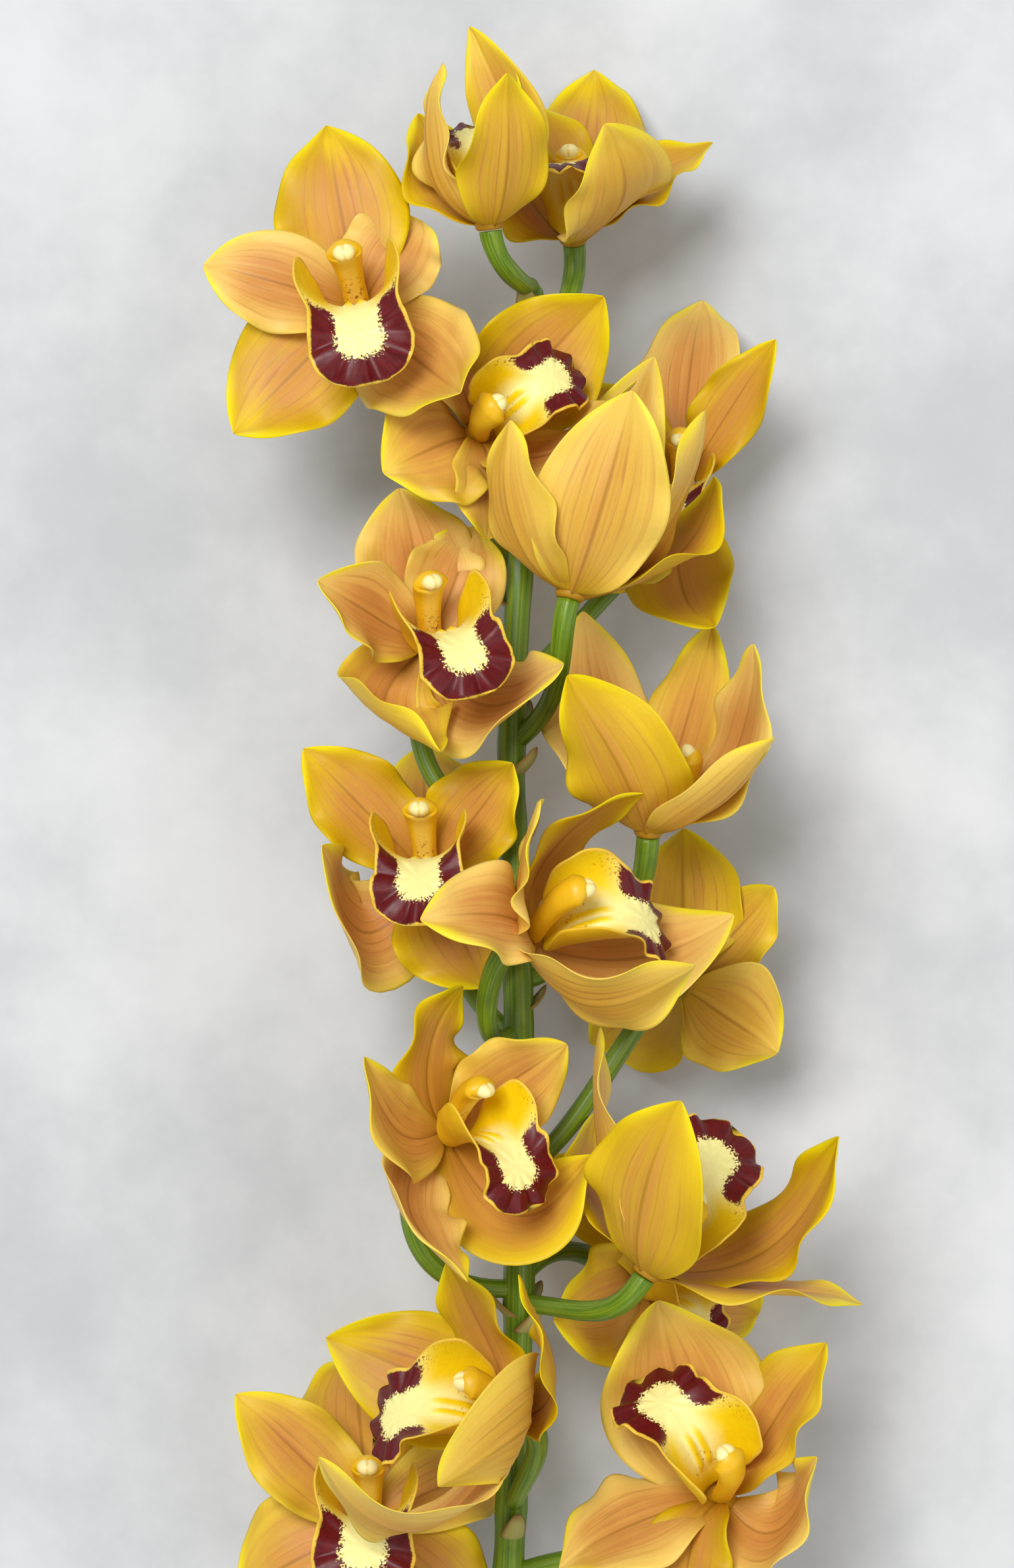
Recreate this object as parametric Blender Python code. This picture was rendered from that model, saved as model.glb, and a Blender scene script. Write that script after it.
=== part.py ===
# Cut cymbidium orchid stem, lying on a table: one green scape with seventeen yellow blooms.
# Metres, +Z up, the table is z = 0, the scape runs along +Y with its cut end at -Y.
import math

import bpy
import numpy as np
from mathutils import Vector

# Driving dimensions of one bloom
SEPAL_WIDTH = 0.037
PETAL_WIDTH = 0.029
TEPAL_THICKNESS = 0.0010
LIP_LENGTH = 0.047
LIP_THICKNESS = 0.0009
COLUMN_LENGTH = 0.025
COLUMN_RADIUS = 0.0036
HUB_RADIUS = 0.0040
HUB_BACK = 0.0028
HUB_FRONT = 0.0008
FIT_GAP = 0.0003

# Driving dimensions of the scape and its pedicels
SCAPE_RADIUS = 0.0046
SCAPE_TIP_RADIUS = 0.0034
SCAPE_SIDES = 8
FOOT_LENGTH = 0.018
PEDICEL_RADIUS = 0.0026
OVARY_RADIUS = 0.0032
PEDICEL_SIDES = 5
BRACT_LENGTH = 0.010
BRACT_WIDTH = 0.0075
BRACT_THICKNESS = 0.0009

# The scape's centre line from its foot to its tip, leaning up off the table; before it the
# foot lies level on the table, ending in the cut
SCAPE_LINE = (
    (-0.007, -0.142, 0.00425),
    (-0.006, -0.112, 0.0085),
    (-0.005, -0.070, 0.0205),
    (-0.003, -0.010, 0.0350),
    (0.000, 0.070, 0.0490),
    (0.000, 0.150, 0.0560),
    (-0.002, 0.220, 0.0585),
    (0.000, 0.270, 0.0590),
    (0.003, 0.320, 0.0580),
    (0.003, 0.351, 0.0570),
)

TEPALS = ("dorsal", "left_petal", "right_petal", "left_sepal", "right_sepal")


def mm(*values):
    """Millimetres to a point in metres."""
    return tuple(value * 0.001 for value in values)


# Each bloom: seat is where its tepals join, face the way it looks, crown its dorsal sepal's
# way, springs the place along Y where its pedicel leaves the scape; lip and droop scale the
# lip's size and bend. Tips are the tepals' ends; vias are points their midribs bow towards.
BLOOMS = {
    "bloom_01": dict(
        seat=mm(-8, 365, 82), face=(-0.12, 0.95, 0.15), crown=(0.2, -0.1, 0.97), springs=350,
        lip=0.7, droop=0.8,
        tips=dict(
            dorsal=mm(-4, 399, 113),
            left_petal=mm(-2, 402, 92),
            right_petal=mm(-21, 405, 94),
            left_sepal=mm(-14, 419, 66),
            right_sepal=mm(-26, 396, 68),
        ),
        vias=dict(
            left_sepal=mm(8, 386, 60),
            left_petal=mm(13, 380, 82),
            right_petal=mm(-31, 372, 92),
        ),
        widths=dict(right_petal=0.72, dorsal=0.7, left_petal=0.72, left_sepal=0.7, right_sepal=0.8),
        cups=dict(right_petal=38, left_sepal=40),
        stalk=mm(2, 348, 70),
    ),
    "bloom_02": dict(
        seat=mm(15, 366, 46), face=(-0.1, 0.86, 0.5), crown=(0.1, 0.5, -0.86), springs=330,
        lip=0.76, droop=0.8,
        tips=dict(
            dorsal=mm(22, 418, -5),
            left_petal=mm(2, 407, 24),
            right_petal=mm(54, 391, 40),
            left_sepal=mm(-2, 391, 50),
            right_sepal=mm(22, 390, 84),
        ),
        vias=dict(
            right_sepal=mm(36, 371, 78),
        ),
        stalk=mm(13, 343, 50),
    ),
    "bloom_03": dict(
        seat=mm(-43, 342, 74), face=(-0.05, 0.1, 1), crown=(-0.2, 0.97, 0), springs=292,
        lip=1, droop=1,
        tips=dict(
            dorsal=mm(-52, 392, 68),
            left_petal=mm(-85, 354, 78),
            right_petal=mm(-26, 367, 70),
            left_sepal=mm(-76, 308, 78),
            right_sepal=mm(-15, 316, 108),
        ),
        stalk=mm(-27, 321, 52),
    ),
    "bloom_04": dict(
        seat=mm(-11, 309, 70), face=(0.55, 0.45, 0.7), crown=(-0.66, -0.35, 0.66), springs=270,
        lip=0.78, droop=1,
        tips=dict(
            dorsal=mm(-36, 297, 88),
            left_petal=mm(-9, 280, 76),
            right_petal=mm(-34, 338, 56),
            left_sepal=mm(30, 322, 90),
            right_sepal=mm(23, 346, 68),
        ),
        vias=dict(
            left_sepal=mm(11, 293, 78),
        ),
        stalk=mm(-12, 288, 54),
    ),
    "bloom_05": dict(
        seat=mm(46, 298, 26), face=(-0.15, 0.1, 0.98), crown=(0.15, 1, 0), springs=238,
        lip=0.75, droop=1,
        tips=dict(
            dorsal=mm(53, 352, -5),
            left_petal=mm(13, 325, 30),
            right_petal=mm(71, 337, 44),
            left_sepal=mm(11, 271, 34),
            right_sepal=mm(53, 259, 56),
        ),
        vias=dict(
            right_sepal=mm(41, 262, 32),
        ),
        widths=dict(dorsal=0.8, right_petal=0.75, left_petal=0.9, right_sepal=0.85),
        cups=dict(right_petal=45),
        stalk=mm(21, 264, 20),
    ),
    "bloom_06": dict(
        seat=mm(14, 266, 84), face=(0.25, 0.93, -0.15), crown=(0, 0.2, 1), springs=225,
        lip=0.7, droop=0.7,
        tips=dict(
            dorsal=mm(30, 318, 100),
            left_petal=mm(50, 314, 82),
            right_petal=mm(-2, 310, 98),
            left_sepal=mm(52, 298, 62),
            right_sepal=mm(37, 331, 58),
        ),
        vias=dict(
            left_sepal=mm(54, 273, 66),
            right_petal=mm(-8, 277, 100),
            right_sepal=mm(18, 283, 40),
        ),
        widths=dict(right_sepal=0.85),
        stalk=mm(15, 238, 66),
    ),
    "bloom_07": dict(
        seat=mm(-24, 252, 68), face=(0.19, 0.31, 0.93), crown=(-0.32, 0.92, -0.24), springs=204,
        lip=0.92, droop=1,
        tips=dict(
            dorsal=mm(-32, 295, 64),
            left_petal=mm(-53, 268, 94),
            right_petal=mm(-12, 284, 60),
            left_sepal=mm(-20, 224, 98),
            right_sepal=mm(10, 247, 92),
        ),
        vias=dict(
            left_sepal=mm(-49, 232, 69),
            right_sepal=mm(-9, 222, 66),
        ),
        cups=dict(left_sepal=55, left_petal=45),
        twists=dict(left_sepal=-35),
        stalk=mm(-35, 207, 62),
    ),
    "bloom_08": dict(
        seat=mm(35, 203, 72), face=(0.05, 0.95, 0.25), crown=(1, -0.05, -0.1), springs=160,
        lip=0.8, droop=0.7,
        tips=dict(
            dorsal=mm(64, 252, 76),
            left_petal=mm(54, 259, 34),
            right_petal=mm(67, 227, 94),
            left_sepal=mm(18, 262, 46),
            right_sepal=mm(12, 243, 92),
        ),
        vias=dict(
            right_petal=mm(51, 202, 94),
            right_sepal=mm(30, 216, 104),
        ),
        widths=dict(left_petal=0.85),
        cups=dict(right_petal=45),
        stalk=mm(31, 171, 40),
    ),
    "bloom_09": dict(
        seat=mm(-25, 190, 60), face=(-0.07, 0.38, 0.92), crown=(-0.02, 0.91, -0.4), springs=144,
        lip=0.92, droop=1,
        tips=dict(
            dorsal=mm(-27, 225, 24),
            left_petal=mm(-58, 224, 66),
            right_petal=mm(-1, 220, 72),
            left_sepal=mm(-51, 198, 84),
            right_sepal=mm(-9, 159, 66),
        ),
        vias=dict(
            left_sepal=mm(-47, 155, 46),
            dorsal=mm(-26, 210, 36),
        ),
        stalk=mm(-20, 158, 46),
    ),
    "bloom_10": dict(
        seat=mm(3, 174, 88), face=(0.87, 0.36, 0.33), crown=(-0.46, 0.5, 0.73), springs=148,
        lip=0.94, droop=1,
        tips=dict(
            dorsal=mm(6, 210, 116),
            left_petal=mm(-25, 180, 124),
            right_petal=mm(33, 212, 92),
            left_sepal=mm(45, 168, 118),
            right_sepal=mm(58, 179, 74),
        ),
        vias=dict(
            left_sepal=mm(14, 145, 124),
            right_petal=mm(2, 202, 84),
            right_sepal=mm(31, 159, 67),
        ),
        stalk=mm(-12, 134, 68),
    ),
    "bloom_11": dict(
        seat=mm(46, 159, 36), face=(0.5, 0.1, -0.8), crown=(0.1, 1, 0), springs=108,
        lip=0.8, droop=0.9,
        tips=dict(
            dorsal=mm(46, 202, 30),
            left_petal=mm(71, 186, 46),
            right_petal=mm(13, 176, 24),
            left_sepal=mm(72, 140, 40),
            right_sepal=mm(21, 141, 8),
        ),
        widths=dict(left_petal=0.8),
    ),
    "bloom_12": dict(
        seat=mm(-19, 121, 70), face=(0.59, 0.12, 0.8), crown=(-0.26, 0.96, 0.05), springs=76,
        lip=0.86, droop=1,
        tips=dict(
            dorsal=mm(-15, 160, 74),
            left_petal=mm(-40, 143, 104),
            right_petal=mm(13, 144, 74),
            left_sepal=mm(-13, 85, 108),
            right_sepal=mm(19, 115, 76),
        ),
        vias=dict(
            left_sepal=mm(-41, 102, 84),
            right_sepal=mm(0, 79, 66),
            left_petal=mm(-36, 115, 96),
            dorsal=mm(-31, 141, 84),
        ),
        widths=dict(dorsal=0.8, left_sepal=0.85),
        cups=dict(left_sepal=45),
        stalk=mm(-41, 73, 58),
    ),
    "bloom_13": dict(
        seat=mm(35, 85, 80), face=(0.53, 0.85, 0.0), crown=(0, 0, 1), springs=72,
        lip=0.98, droop=0.45,
        tips=dict(
            dorsal=mm(42, 132, 112),
            left_petal=mm(86, 120, 80),
            right_petal=mm(22, 149, 74),
            left_sepal=mm(93, 76, 70),
            right_sepal=mm(20, 124, 48),
        ),
        vias=dict(
            left_petal=mm(77, 77, 50),
            right_sepal=mm(21, 97, 56),
            right_petal=mm(16, 116, 86),
        ),
        widths=dict(dorsal=1.1, left_petal=1.15, right_petal=1.15),
        stalk=mm(18, 72, 66),
    ),
    "bloom_14": dict(
        seat=mm(36, 75, 30), face=(0.65, -0.1, 0.65), crown=(-0.1, 1, 0), springs=78,
        lip=0.7, droop=1,
        tips=dict(
            dorsal=mm(37, 122, 22),
            left_petal=mm(2, 109, 20),
            right_petal=mm(69, 63, -5),
            left_sepal=mm(9, 68, 52),
            right_sepal=mm(51, 29, 20),
        ),
        stalk=mm(13, 94, 40),
    ),
    "bloom_15": dict(
        seat=mm(-2, 43, 70), face=(-0.83, 0.31, 0.46), crown=(0.53, 0.55, 0.64), springs=14,
        lip=0.95, droop=1,
        tips=dict(
            dorsal=mm(-2, 84, 96),
            left_petal=mm(-19, 85, 66),
            right_petal=mm(-21, 31, 110),
            left_sepal=mm(-53, 62, 48),
            right_sepal=mm(-53, 38, 104),
        ),
        vias=dict(
            dorsal=mm(19, 52, 92),
            right_petal=mm(10, 52, 116),
            right_sepal=mm(-26, -3, 104),
        ),
        widths=dict(right_petal=1.4, dorsal=0.8),
    ),
    "bloom_16": dict(
        seat=mm(55, 21, 62), face=(-0.28, 0.78, 0.56), crown=(0.62, -0.28, 0.72), springs=-6,
        lip=0.96, droop=1,
        tips=dict(
            dorsal=mm(79, 35, 84),
            left_petal=mm(84, 62, 60),
            right_petal=mm(46, -19, 66),
            left_sepal=mm(38, 73, 60),
            right_sepal=mm(11, 1, 62),
        ),
        vias=dict(
            dorsal=mm(71, -1, 70),
            left_sepal=mm(46, 41, 42),
        ),
        widths=dict(left_petal=1.1, left_sepal=1.3),
    ),
    "bloom_17": dict(
        seat=mm(-41, 9, 40), face=(-0.02, 0.4, 0.91), crown=(0.02, 0.91, -0.4), springs=-22,
        lip=1, droop=1,
        tips=dict(
            dorsal=mm(-47, 50, -5),
            left_petal=mm(-78, 46, 44),
            right_petal=mm(-5, 19, 14),
            left_sepal=mm(-77, -11, 36),
            right_sepal=mm(-11, -23, 38),
        ),
    ),
}

# A tepal's rise off the bloom's plane at its root, and the cup across it, in degrees
SEPAL_RISE = 22
PETAL_RISE = 30
SEPAL_CUP = 18
PETAL_CUP = 30

# The column's steps from its foot to its tip: bend in degrees, share of length, girth
COLUMN_RISE = 0.0006
COLUMN_BENDS = (36, 32, 12, -30)
COLUMN_SHARES = (0.30, 0.36, 0.24, 0.10)
COLUMN_GIRTHS = (0.95, 0.92, 1.08, 1.12, 0.6)
COLUMN_SIDES = 5

# Where a blade is sampled: along it from root to tip, and across it
TEPAL_ROWS = (0.0, 0.2, 0.42, 0.64, 0.84, 1.0)
TEPAL_COLUMNS = (-1.0, -0.36, 0.36, 1.0)
LIP_ROWS = (0.0, 0.16, 0.32, 0.46, 0.62, 0.78, 0.91, 1.0)
LIP_COLUMNS = (-1.0, -0.62, -0.22, 0.22, 0.62, 1.0)

# The lip's outline and bend by place along it: half width in metres, wrap of its edge and
# bend of its centre line in degrees
LIP_PLACES = (0.0, 0.16, 0.30, 0.40, 0.47, 0.54, 0.64, 0.76, 0.88, 0.95, 1.0)
LIP_HALF_WIDTHS = (
    0.0026, 0.0120, 0.0185, 0.0225, 0.0205, 0.0135, 0.0132, 0.0142, 0.0122, 0.0078, 0.0,
)
LIP_WRAPS = (25, 88, 92, 84, 72, 46, 24, 2, -14, -20, -20)
LIP_BENDS = (-12, -4, 4, 12, 26, 44, 66, 84, 96, 102, 106)


def smooth_line(points, count):
    """Catmull-Rom curve through the points, as count points evenly spaced in parameter."""
    knots = np.asarray(points, float)
    ends = np.vstack([2 * knots[0] - knots[1], knots, 2 * knots[-1] - knots[-2]])
    at = np.linspace(0, len(knots) - 1, count)
    first = np.minimum(at.astype(int), len(knots) - 2)
    u = (at - first)[:, None]
    a, b, c, d = (ends[first + k] for k in range(4))
    return 0.5 * (
        2 * b + (c - a) * u + (2 * a - 5 * b + 4 * c - d) * u**2 + (3 * b - a - 3 * c + d) * u**3
    )


def soft_floor(height, rest, reach=0.004):
    """Height held at rest or above, with a bend of 2 * reach where a petal meets the table."""
    over = height - rest
    eased = (over + reach) ** 2 / (4 * reach)
    return rest + np.where(over < -reach, 0, np.where(over < reach, eased, over))


def smooth_values(places, values, at):
    """Values between hand-set places, on a monotone cosine ease."""
    places, values = np.asarray(places, float), np.asarray(values, float)
    slot = np.clip(np.searchsorted(places, at, side="right") - 1, 0, len(places) - 2)
    share = (at - places[slot]) / (places[slot + 1] - places[slot])
    ease = 0.5 * share + 0.5 * (0.5 - 0.5 * np.cos(np.pi * share))
    return values[slot] + (values[slot + 1] - values[slot]) * ease


def arc_section(across, half_width, wrap):
    """Side and lift of a strip bent to an arc whose edge turns by wrap (radians)."""
    wrap = np.where(np.abs(wrap) < 0.02, 0.02, wrap)
    radius = half_width / wrap
    return radius * np.sin(across * wrap), radius * (1 - np.cos(across * wrap))


def tepal_profile(at, petal):
    """Half width of a tepal as a share of its widest: narrow claw, full middle, short point."""
    claw, widest = (0.18, 0.50) if petal else (0.16, 0.46)
    swell = claw + (1 - claw) * np.sin(np.pi / 2 * np.minimum(at / widest, 1)) ** 0.8
    beyond = np.clip((at - widest) / (1 - widest), 0, 1)
    return swell * (1 - beyond**1.9) ** 0.85


def unit(vector):
    vector = np.asarray(vector, float)
    return vector / np.linalg.norm(vector, axis=-1, keepdims=True)


def bloom_axes(bloom):
    """Seat of a bloom and its three directions: right-hand side, crown, face."""
    face = unit(bloom["face"])
    crown = np.asarray(bloom["crown"], float)
    crown = unit(crown - face * (crown @ face))
    return np.asarray(bloom["seat"]), np.cross(crown, face), crown, face


def carried_sides(line, first_front):
    """Side and front directions carried along a line without turning about it."""
    along = unit(np.gradient(line, axis=0))
    fronts = []
    front = first_front
    for way in along:
        front = unit(front - way * (front @ way))
        fronts.append(front)
    fronts = np.array(fronts)
    return np.cross(fronts, along), fronts


def tepal_surface(bloom, part, rows, columns):
    """Middle surface of a tepal: its midrib is a quadratic bow from the hub to the tip."""
    seat, right, crown, face = bloom_axes(bloom)
    petal = part.endswith("petal")
    tip = np.asarray(bloom["tips"][part])
    via = bloom.get("vias", {}).get(part)
    outward = (tip if via is None else np.asarray(via)) - seat
    outward = unit(outward - face * (outward @ face))
    root = seat + outward * 0.0024 + face * (-0.0003 if petal else -0.0014)
    rise = math.radians(PETAL_RISE if petal else SEPAL_RISE)
    if via is None:
        via = root + (outward * math.cos(rise) + face * math.sin(rise)) * math.dist(tip, root) / 2
    u = np.linspace(0, 1, 61)[:, None]
    midrib = (1 - u) ** 2 * root + 2 * u * (1 - u) * np.asarray(via) + u**2 * tip
    side, front = carried_sides(midrib, face * math.cos(rise) - outward * math.sin(rise))
    length = np.concatenate([[0], np.cumsum(np.linalg.norm(np.diff(midrib, axis=0), axis=1))])
    fine = length / length[-1]
    twist = np.radians(bloom.get("twists", {}).get(part, 0) * fine**1.5)[:, None]
    side, front = (
        side * np.cos(twist) + front * np.sin(twist),
        front * np.cos(twist) - side * np.sin(twist),
    )
    at = np.asarray(rows, float)
    centre, side, front = (
        np.stack([np.interp(at, fine, line[:, k]) for k in range(3)], 1)[:, None, :]
        for line in (midrib, side, front)
    )
    width = (PETAL_WIDTH if petal else SEPAL_WIDTH) * bloom.get("widths", {}).get(part, 1)
    half = (width / 2 * tepal_profile(at, petal))[:, None]
    cup = bloom.get("cups", {}).get(part, PETAL_CUP if petal else SEPAL_CUP)
    wrap = np.radians(cup) * (0.7 + 0.5 * at)[:, None]
    sideways, lifted = arc_section(np.asarray(columns)[None, :], half, wrap)
    return centre + sideways[..., None] * side + lifted[..., None] * front


def lip_surface(bloom, rows, columns):
    """Middle surface of the lip: a trough with upright side lobes, then a hanging midlobe."""
    size, droop = bloom["lip"], bloom["droop"]
    fine = np.linspace(0, 1, 121)
    bend = smooth_values(LIP_PLACES, LIP_BENDS, fine)
    bend = np.radians(bend * np.where(bend > 0, droop, 1))
    along = np.stack([0 * bend, -np.sin(bend), np.cos(bend)], 1)
    steps = (along[1:] + along[:-1]) / 2 * LIP_LENGTH * size / (len(fine) - 1)
    spine = np.vstack([np.zeros(3), np.cumsum(steps, axis=0)])
    spine += np.array([0, -0.0043, HUB_FRONT + FIT_GAP + LIP_THICKNESS / 2])
    inner = np.stack([0 * bend, np.cos(bend), np.sin(bend)], 1)
    at = np.asarray(rows, float)
    centre, up = (np.stack([np.interp(at, fine, line[:, k]) for k in range(3)], 1)[:, None, :]
                  for line in (spine, inner))
    base = np.minimum(at / LIP_PLACES[1], 1)
    half = smooth_values(LIP_PLACES, LIP_HALF_WIDTHS, at) * (1 + (size - 1) * base)
    wrap = np.radians(smooth_values(LIP_PLACES, LIP_WRAPS, at))
    across = np.asarray(columns)[None, :]
    sideways, lifted = arc_section(across, half[:, None], wrap[:, None])
    frill = 0.0011 * size * np.clip((at - 0.42) / 0.2, 0, 1)[:, None] * np.abs(across) ** 3
    lifted = lifted + frill * np.cos(10 * np.pi * at)[:, None]
    seat, right, crown, face = bloom_axes(bloom)
    local = centre + sideways[..., None] * np.array([1.0, 0, 0]) + lifted[..., None] * up
    return seat + local @ np.stack([right, crown, face])


def surface_normals(grid):
    """Unit normals of a grid of points by central differences."""
    normals = np.cross(np.gradient(grid, axis=0), np.gradient(grid, axis=1))
    normals[-1] = normals[-2]
    return unit(normals)


def blade_mesh(name, grid, thickness):
    """Closed blade round a middle surface whose last row is one point, split alike on both faces.

    The surface is laid on the table where it would pass through it, then given its thickness.
    """
    placed = grid.copy()
    placed[..., 2] = soft_floor(placed[..., 2], thickness / 2)
    rows, columns = grid.shape[:2]
    body = placed[:-1]
    offset = surface_normals(placed)[:-1] * thickness / 2
    tip = placed[-1].mean(axis=0)
    points = np.vstack([(body + offset).reshape(-1, 3), (body - offset).reshape(-1, 3), tip[None]])
    points[points[:, 2] < thickness * 0.55, 2] = 0
    layer = (rows - 1) * columns
    tip_index = 2 * layer
    faces = []

    def quad(a, b, c, d):
        faces.extend([(a, b, c), (a, c, d)])

    for i in range(rows - 2):
        for j in range(columns - 1):
            a, b = i * columns + j, i * columns + j + 1
            c, d = b + columns, a + columns
            if i % 2 == j % 2:
                quad(a, d, c, b)
                quad(a + layer, b + layer, c + layer, d + layer)
            else:
                quad(b, a, d, c)
                quad(d + layer, a + layer, b + layer, c + layer)
        left, right = i * columns, i * columns + columns - 1
        quad(left, left + layer, left + layer + columns, left + columns)
        quad(right + columns, right + columns + layer, right + layer, right)
    last = (rows - 2) * columns
    for j in range(columns - 1):
        a = last + j
        faces.append((a, tip_index, a + 1))
        faces.append((a + 1 + layer, tip_index, a + layer))
        quad(j, j + 1, j + 1 + layer, j + layer)
    end = last + columns - 1
    faces.append((last, last + layer, tip_index))
    faces.append((end + layer, end, tip_index))
    mesh = bpy.data.meshes.new(name)
    mesh.from_pydata([tuple(p) for p in points], [], faces)
    mesh.validate()
    mesh.update()
    return mesh


def tube_mesh(name, centres, radii, sides, phase=0.5):
    """Closed tube along a line, its rings carried without twisting."""
    centres = np.asarray(centres, float)
    along = unit(np.gradient(centres, axis=0))
    first = np.cross(along[0], (0.0, 0.0, 1.0))
    if np.linalg.norm(first) < 1e-3:
        first = np.cross(along[0], (1.0, 0.0, 0.0))
    points, across = [], first
    for centre, way, radius in zip(centres, along, radii):
        across = unit(across - way * (across @ way))
        over = np.cross(way, across)
        for k in range(sides):
            angle = 2 * math.pi * (k + phase) / sides
            points.append(centre + radius * (math.cos(angle) * across + math.sin(angle) * over))
    faces = []
    for i in range(len(centres) - 1):
        for k in range(sides):
            a, b = i * sides + k, i * sides + (k + 1) % sides
            faces.append((a, b, b + sides, a + sides))
    faces.append(tuple(reversed(range(sides))))
    top = (len(centres) - 1) * sides
    faces.append(tuple(range(top, top + sides)))
    mesh = bpy.data.meshes.new(name)
    mesh.from_pydata([tuple(p) for p in points], [], faces)
    mesh.update()
    return mesh


def square_ring(vertices, centre, face):
    """Moves a ring of vertices along the face direction until it lies square to it."""
    for vertex in vertices:
        point = np.array(vertex.co)
        vertex.co = point - face * ((point - centre) @ face)


def put(name, mesh, material):
    thing = bpy.data.objects.new(name, mesh)
    bpy.context.scene.collection.objects.link(thing)
    mesh.materials.append(material)
    mesh.shade_smooth()
    mesh.set_sharp_from_angle(angle=math.radians(50))
    return thing


def fuse(body, others):
    """One Boolean union of the body with the others, applied; the others are then removed."""
    group = bpy.data.collections.new(body.name + "_joined")
    bpy.context.scene.collection.children.link(group)
    for other in others:
        bpy.context.scene.collection.objects.unlink(other)
        group.objects.link(other)
    union = body.modifiers.new("grown_together", "BOOLEAN")
    union.operation = "UNION"
    union.operand_type = "COLLECTION"
    union.solver = "MANIFOLD"
    union.collection = group
    bpy.context.view_layer.update()
    evaluated = body.evaluated_get(bpy.context.evaluated_depsgraph_get())
    joined = bpy.data.meshes.new_from_object(evaluated)
    body.modifiers.clear()
    old = body.data
    body.data = joined
    bpy.data.meshes.remove(old)
    for other in others:
        data = other.data
        bpy.data.objects.remove(other)
        bpy.data.meshes.remove(data)
    bpy.data.collections.remove(group)


def material(name, colour, roughness):
    made = bpy.data.materials.new(name)
    made.use_nodes = True
    shader = made.node_tree.nodes["Principled BSDF"]
    shader.inputs["Base Color"].default_value = (*colour, 1)
    shader.inputs["Roughness"].default_value = roughness
    shader.inputs["Metallic"].default_value = 0
    return made


def make_tepals(name, bloom, finish):
    seat, right, crown, face = bloom_axes(bloom)
    line = [seat - face * HUB_BACK, seat + face * HUB_FRONT]
    hub = put(name + "_tepals", tube_mesh(name, line, [HUB_RADIUS] * 2, 8), finish)
    blades = []
    for part in TEPALS:
        grid = tepal_surface(bloom, part, TEPAL_ROWS, TEPAL_COLUMNS)
        mesh = blade_mesh(f"{name}_{part}", grid, TEPAL_THICKNESS)
        blades.append(put(f"{name}_{part}", mesh, finish))
    fuse(hub, blades)


def make_lip(name, bloom, finish):
    grid = lip_surface(bloom, LIP_ROWS, LIP_COLUMNS)
    put(name + "_lip", blade_mesh(name + "_lip", grid, LIP_THICKNESS), finish)


def make_column(name, bloom, finish):
    """Arching column with the anther cap as a knob at its end, its foot square to the hub."""
    seat, right, crown, face = bloom_axes(bloom)
    size = 0.5 + 0.5 * bloom["lip"]
    point = seat + face * (HUB_FRONT + FIT_GAP) + crown * COLUMN_RISE
    centres = [point]
    for bend, share in zip(COLUMN_BENDS, COLUMN_SHARES):
        way = crown * math.sin(math.radians(bend)) + face * math.cos(math.radians(bend))
        point = point + way * share * COLUMN_LENGTH * size
        centres.append(point)
    radii = np.array(COLUMN_GIRTHS) * COLUMN_RADIUS
    mesh = tube_mesh(name + "_column", centres, radii, COLUMN_SIDES)
    square_ring(mesh.vertices[:COLUMN_SIDES], centres[0], face)
    put(name + "_column", mesh, finish)


def pedicel_line(scape_line, bloom, count=6):
    """Cubic bow from the scape's axis to just behind a bloom, arriving the way it faces."""
    start = np.array([np.interp(bloom["springs"] * 0.001, scape_line[:, 1], scape_line[:, k])
                      for k in range(3)])
    seat, right, crown, face = bloom_axes(bloom)
    end = seat - face * (HUB_BACK + FIT_GAP)
    reach = np.linalg.norm(end - start) / 3
    stalk = bloom.get("stalk")
    if stalk is None:
        outward = unit((end - start) * (1, 0, 1))
        stalk = start + unit(outward + np.array([0, 0.55, 0])) * reach
    u = np.linspace(0, 1, count)[:, None]
    return (
        (1 - u) ** 3 * start
        + 3 * u * (1 - u) ** 2 * np.asarray(stalk)
        + 3 * u**2 * (1 - u) * (end - face * reach * bloom.get("arrive", 1.0))
        + u**3 * end
    )


def make_bract(name, start, way, finish):
    """Small pointed scale under a pedicel, its foot sunk in the scape."""
    way = unit(way)
    up = np.array([0.0, 1.0, 0.0])
    lean = unit(up * 0.8 + way * 0.6)
    side = unit(np.cross(way, up))
    foot = start + way * SCAPE_RADIUS * 0.5 - up * 0.0085
    middle = foot + lean * BRACT_LENGTH * 0.55 + way * 0.0012
    grid = np.array([
        [foot + side * BRACT_WIDTH / 2 * a for a in (-1, 1)],
        [middle + side * BRACT_WIDTH * 0.4 * a for a in (-1, 1)],
        [foot + lean * BRACT_LENGTH] * 2,
    ])
    return put(name, blade_mesh(name, grid, BRACT_THICKNESS), finish)


def make_scape(finish):
    line = smooth_line(SCAPE_LINE, 19)
    line = np.vstack([line[0] - (0, FOOT_LENGTH, 0), line])
    taper = np.linspace(SCAPE_RADIUS, SCAPE_TIP_RADIUS, len(line))
    stem = tube_mesh("scape", line, taper, SCAPE_SIDES)
    for vertex in stem.vertices:
        if vertex.co.z < 0.0005:
            vertex.co.z = 0
    scape = put("scape", stem, finish)
    branches = []
    for name, bloom in BLOOMS.items():
        route = pedicel_line(line, bloom)
        share = np.linspace(0, 1, len(route))
        radii = PEDICEL_RADIUS + (OVARY_RADIUS - PEDICEL_RADIUS) * share**1.5
        mesh = tube_mesh(name + "_pedicel", route, radii, PEDICEL_SIDES)
        square_ring(mesh.vertices[-PEDICEL_SIDES:], route[-1], bloom_axes(bloom)[3])
        branches.append(put(name + "_pedicel", mesh, finish))
        way = (route[1] - route[0]) * (1, 0, 1)
        branches.append(make_bract(name + "_bract", route[0], way, finish))
    fuse(scape, branches)


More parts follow.
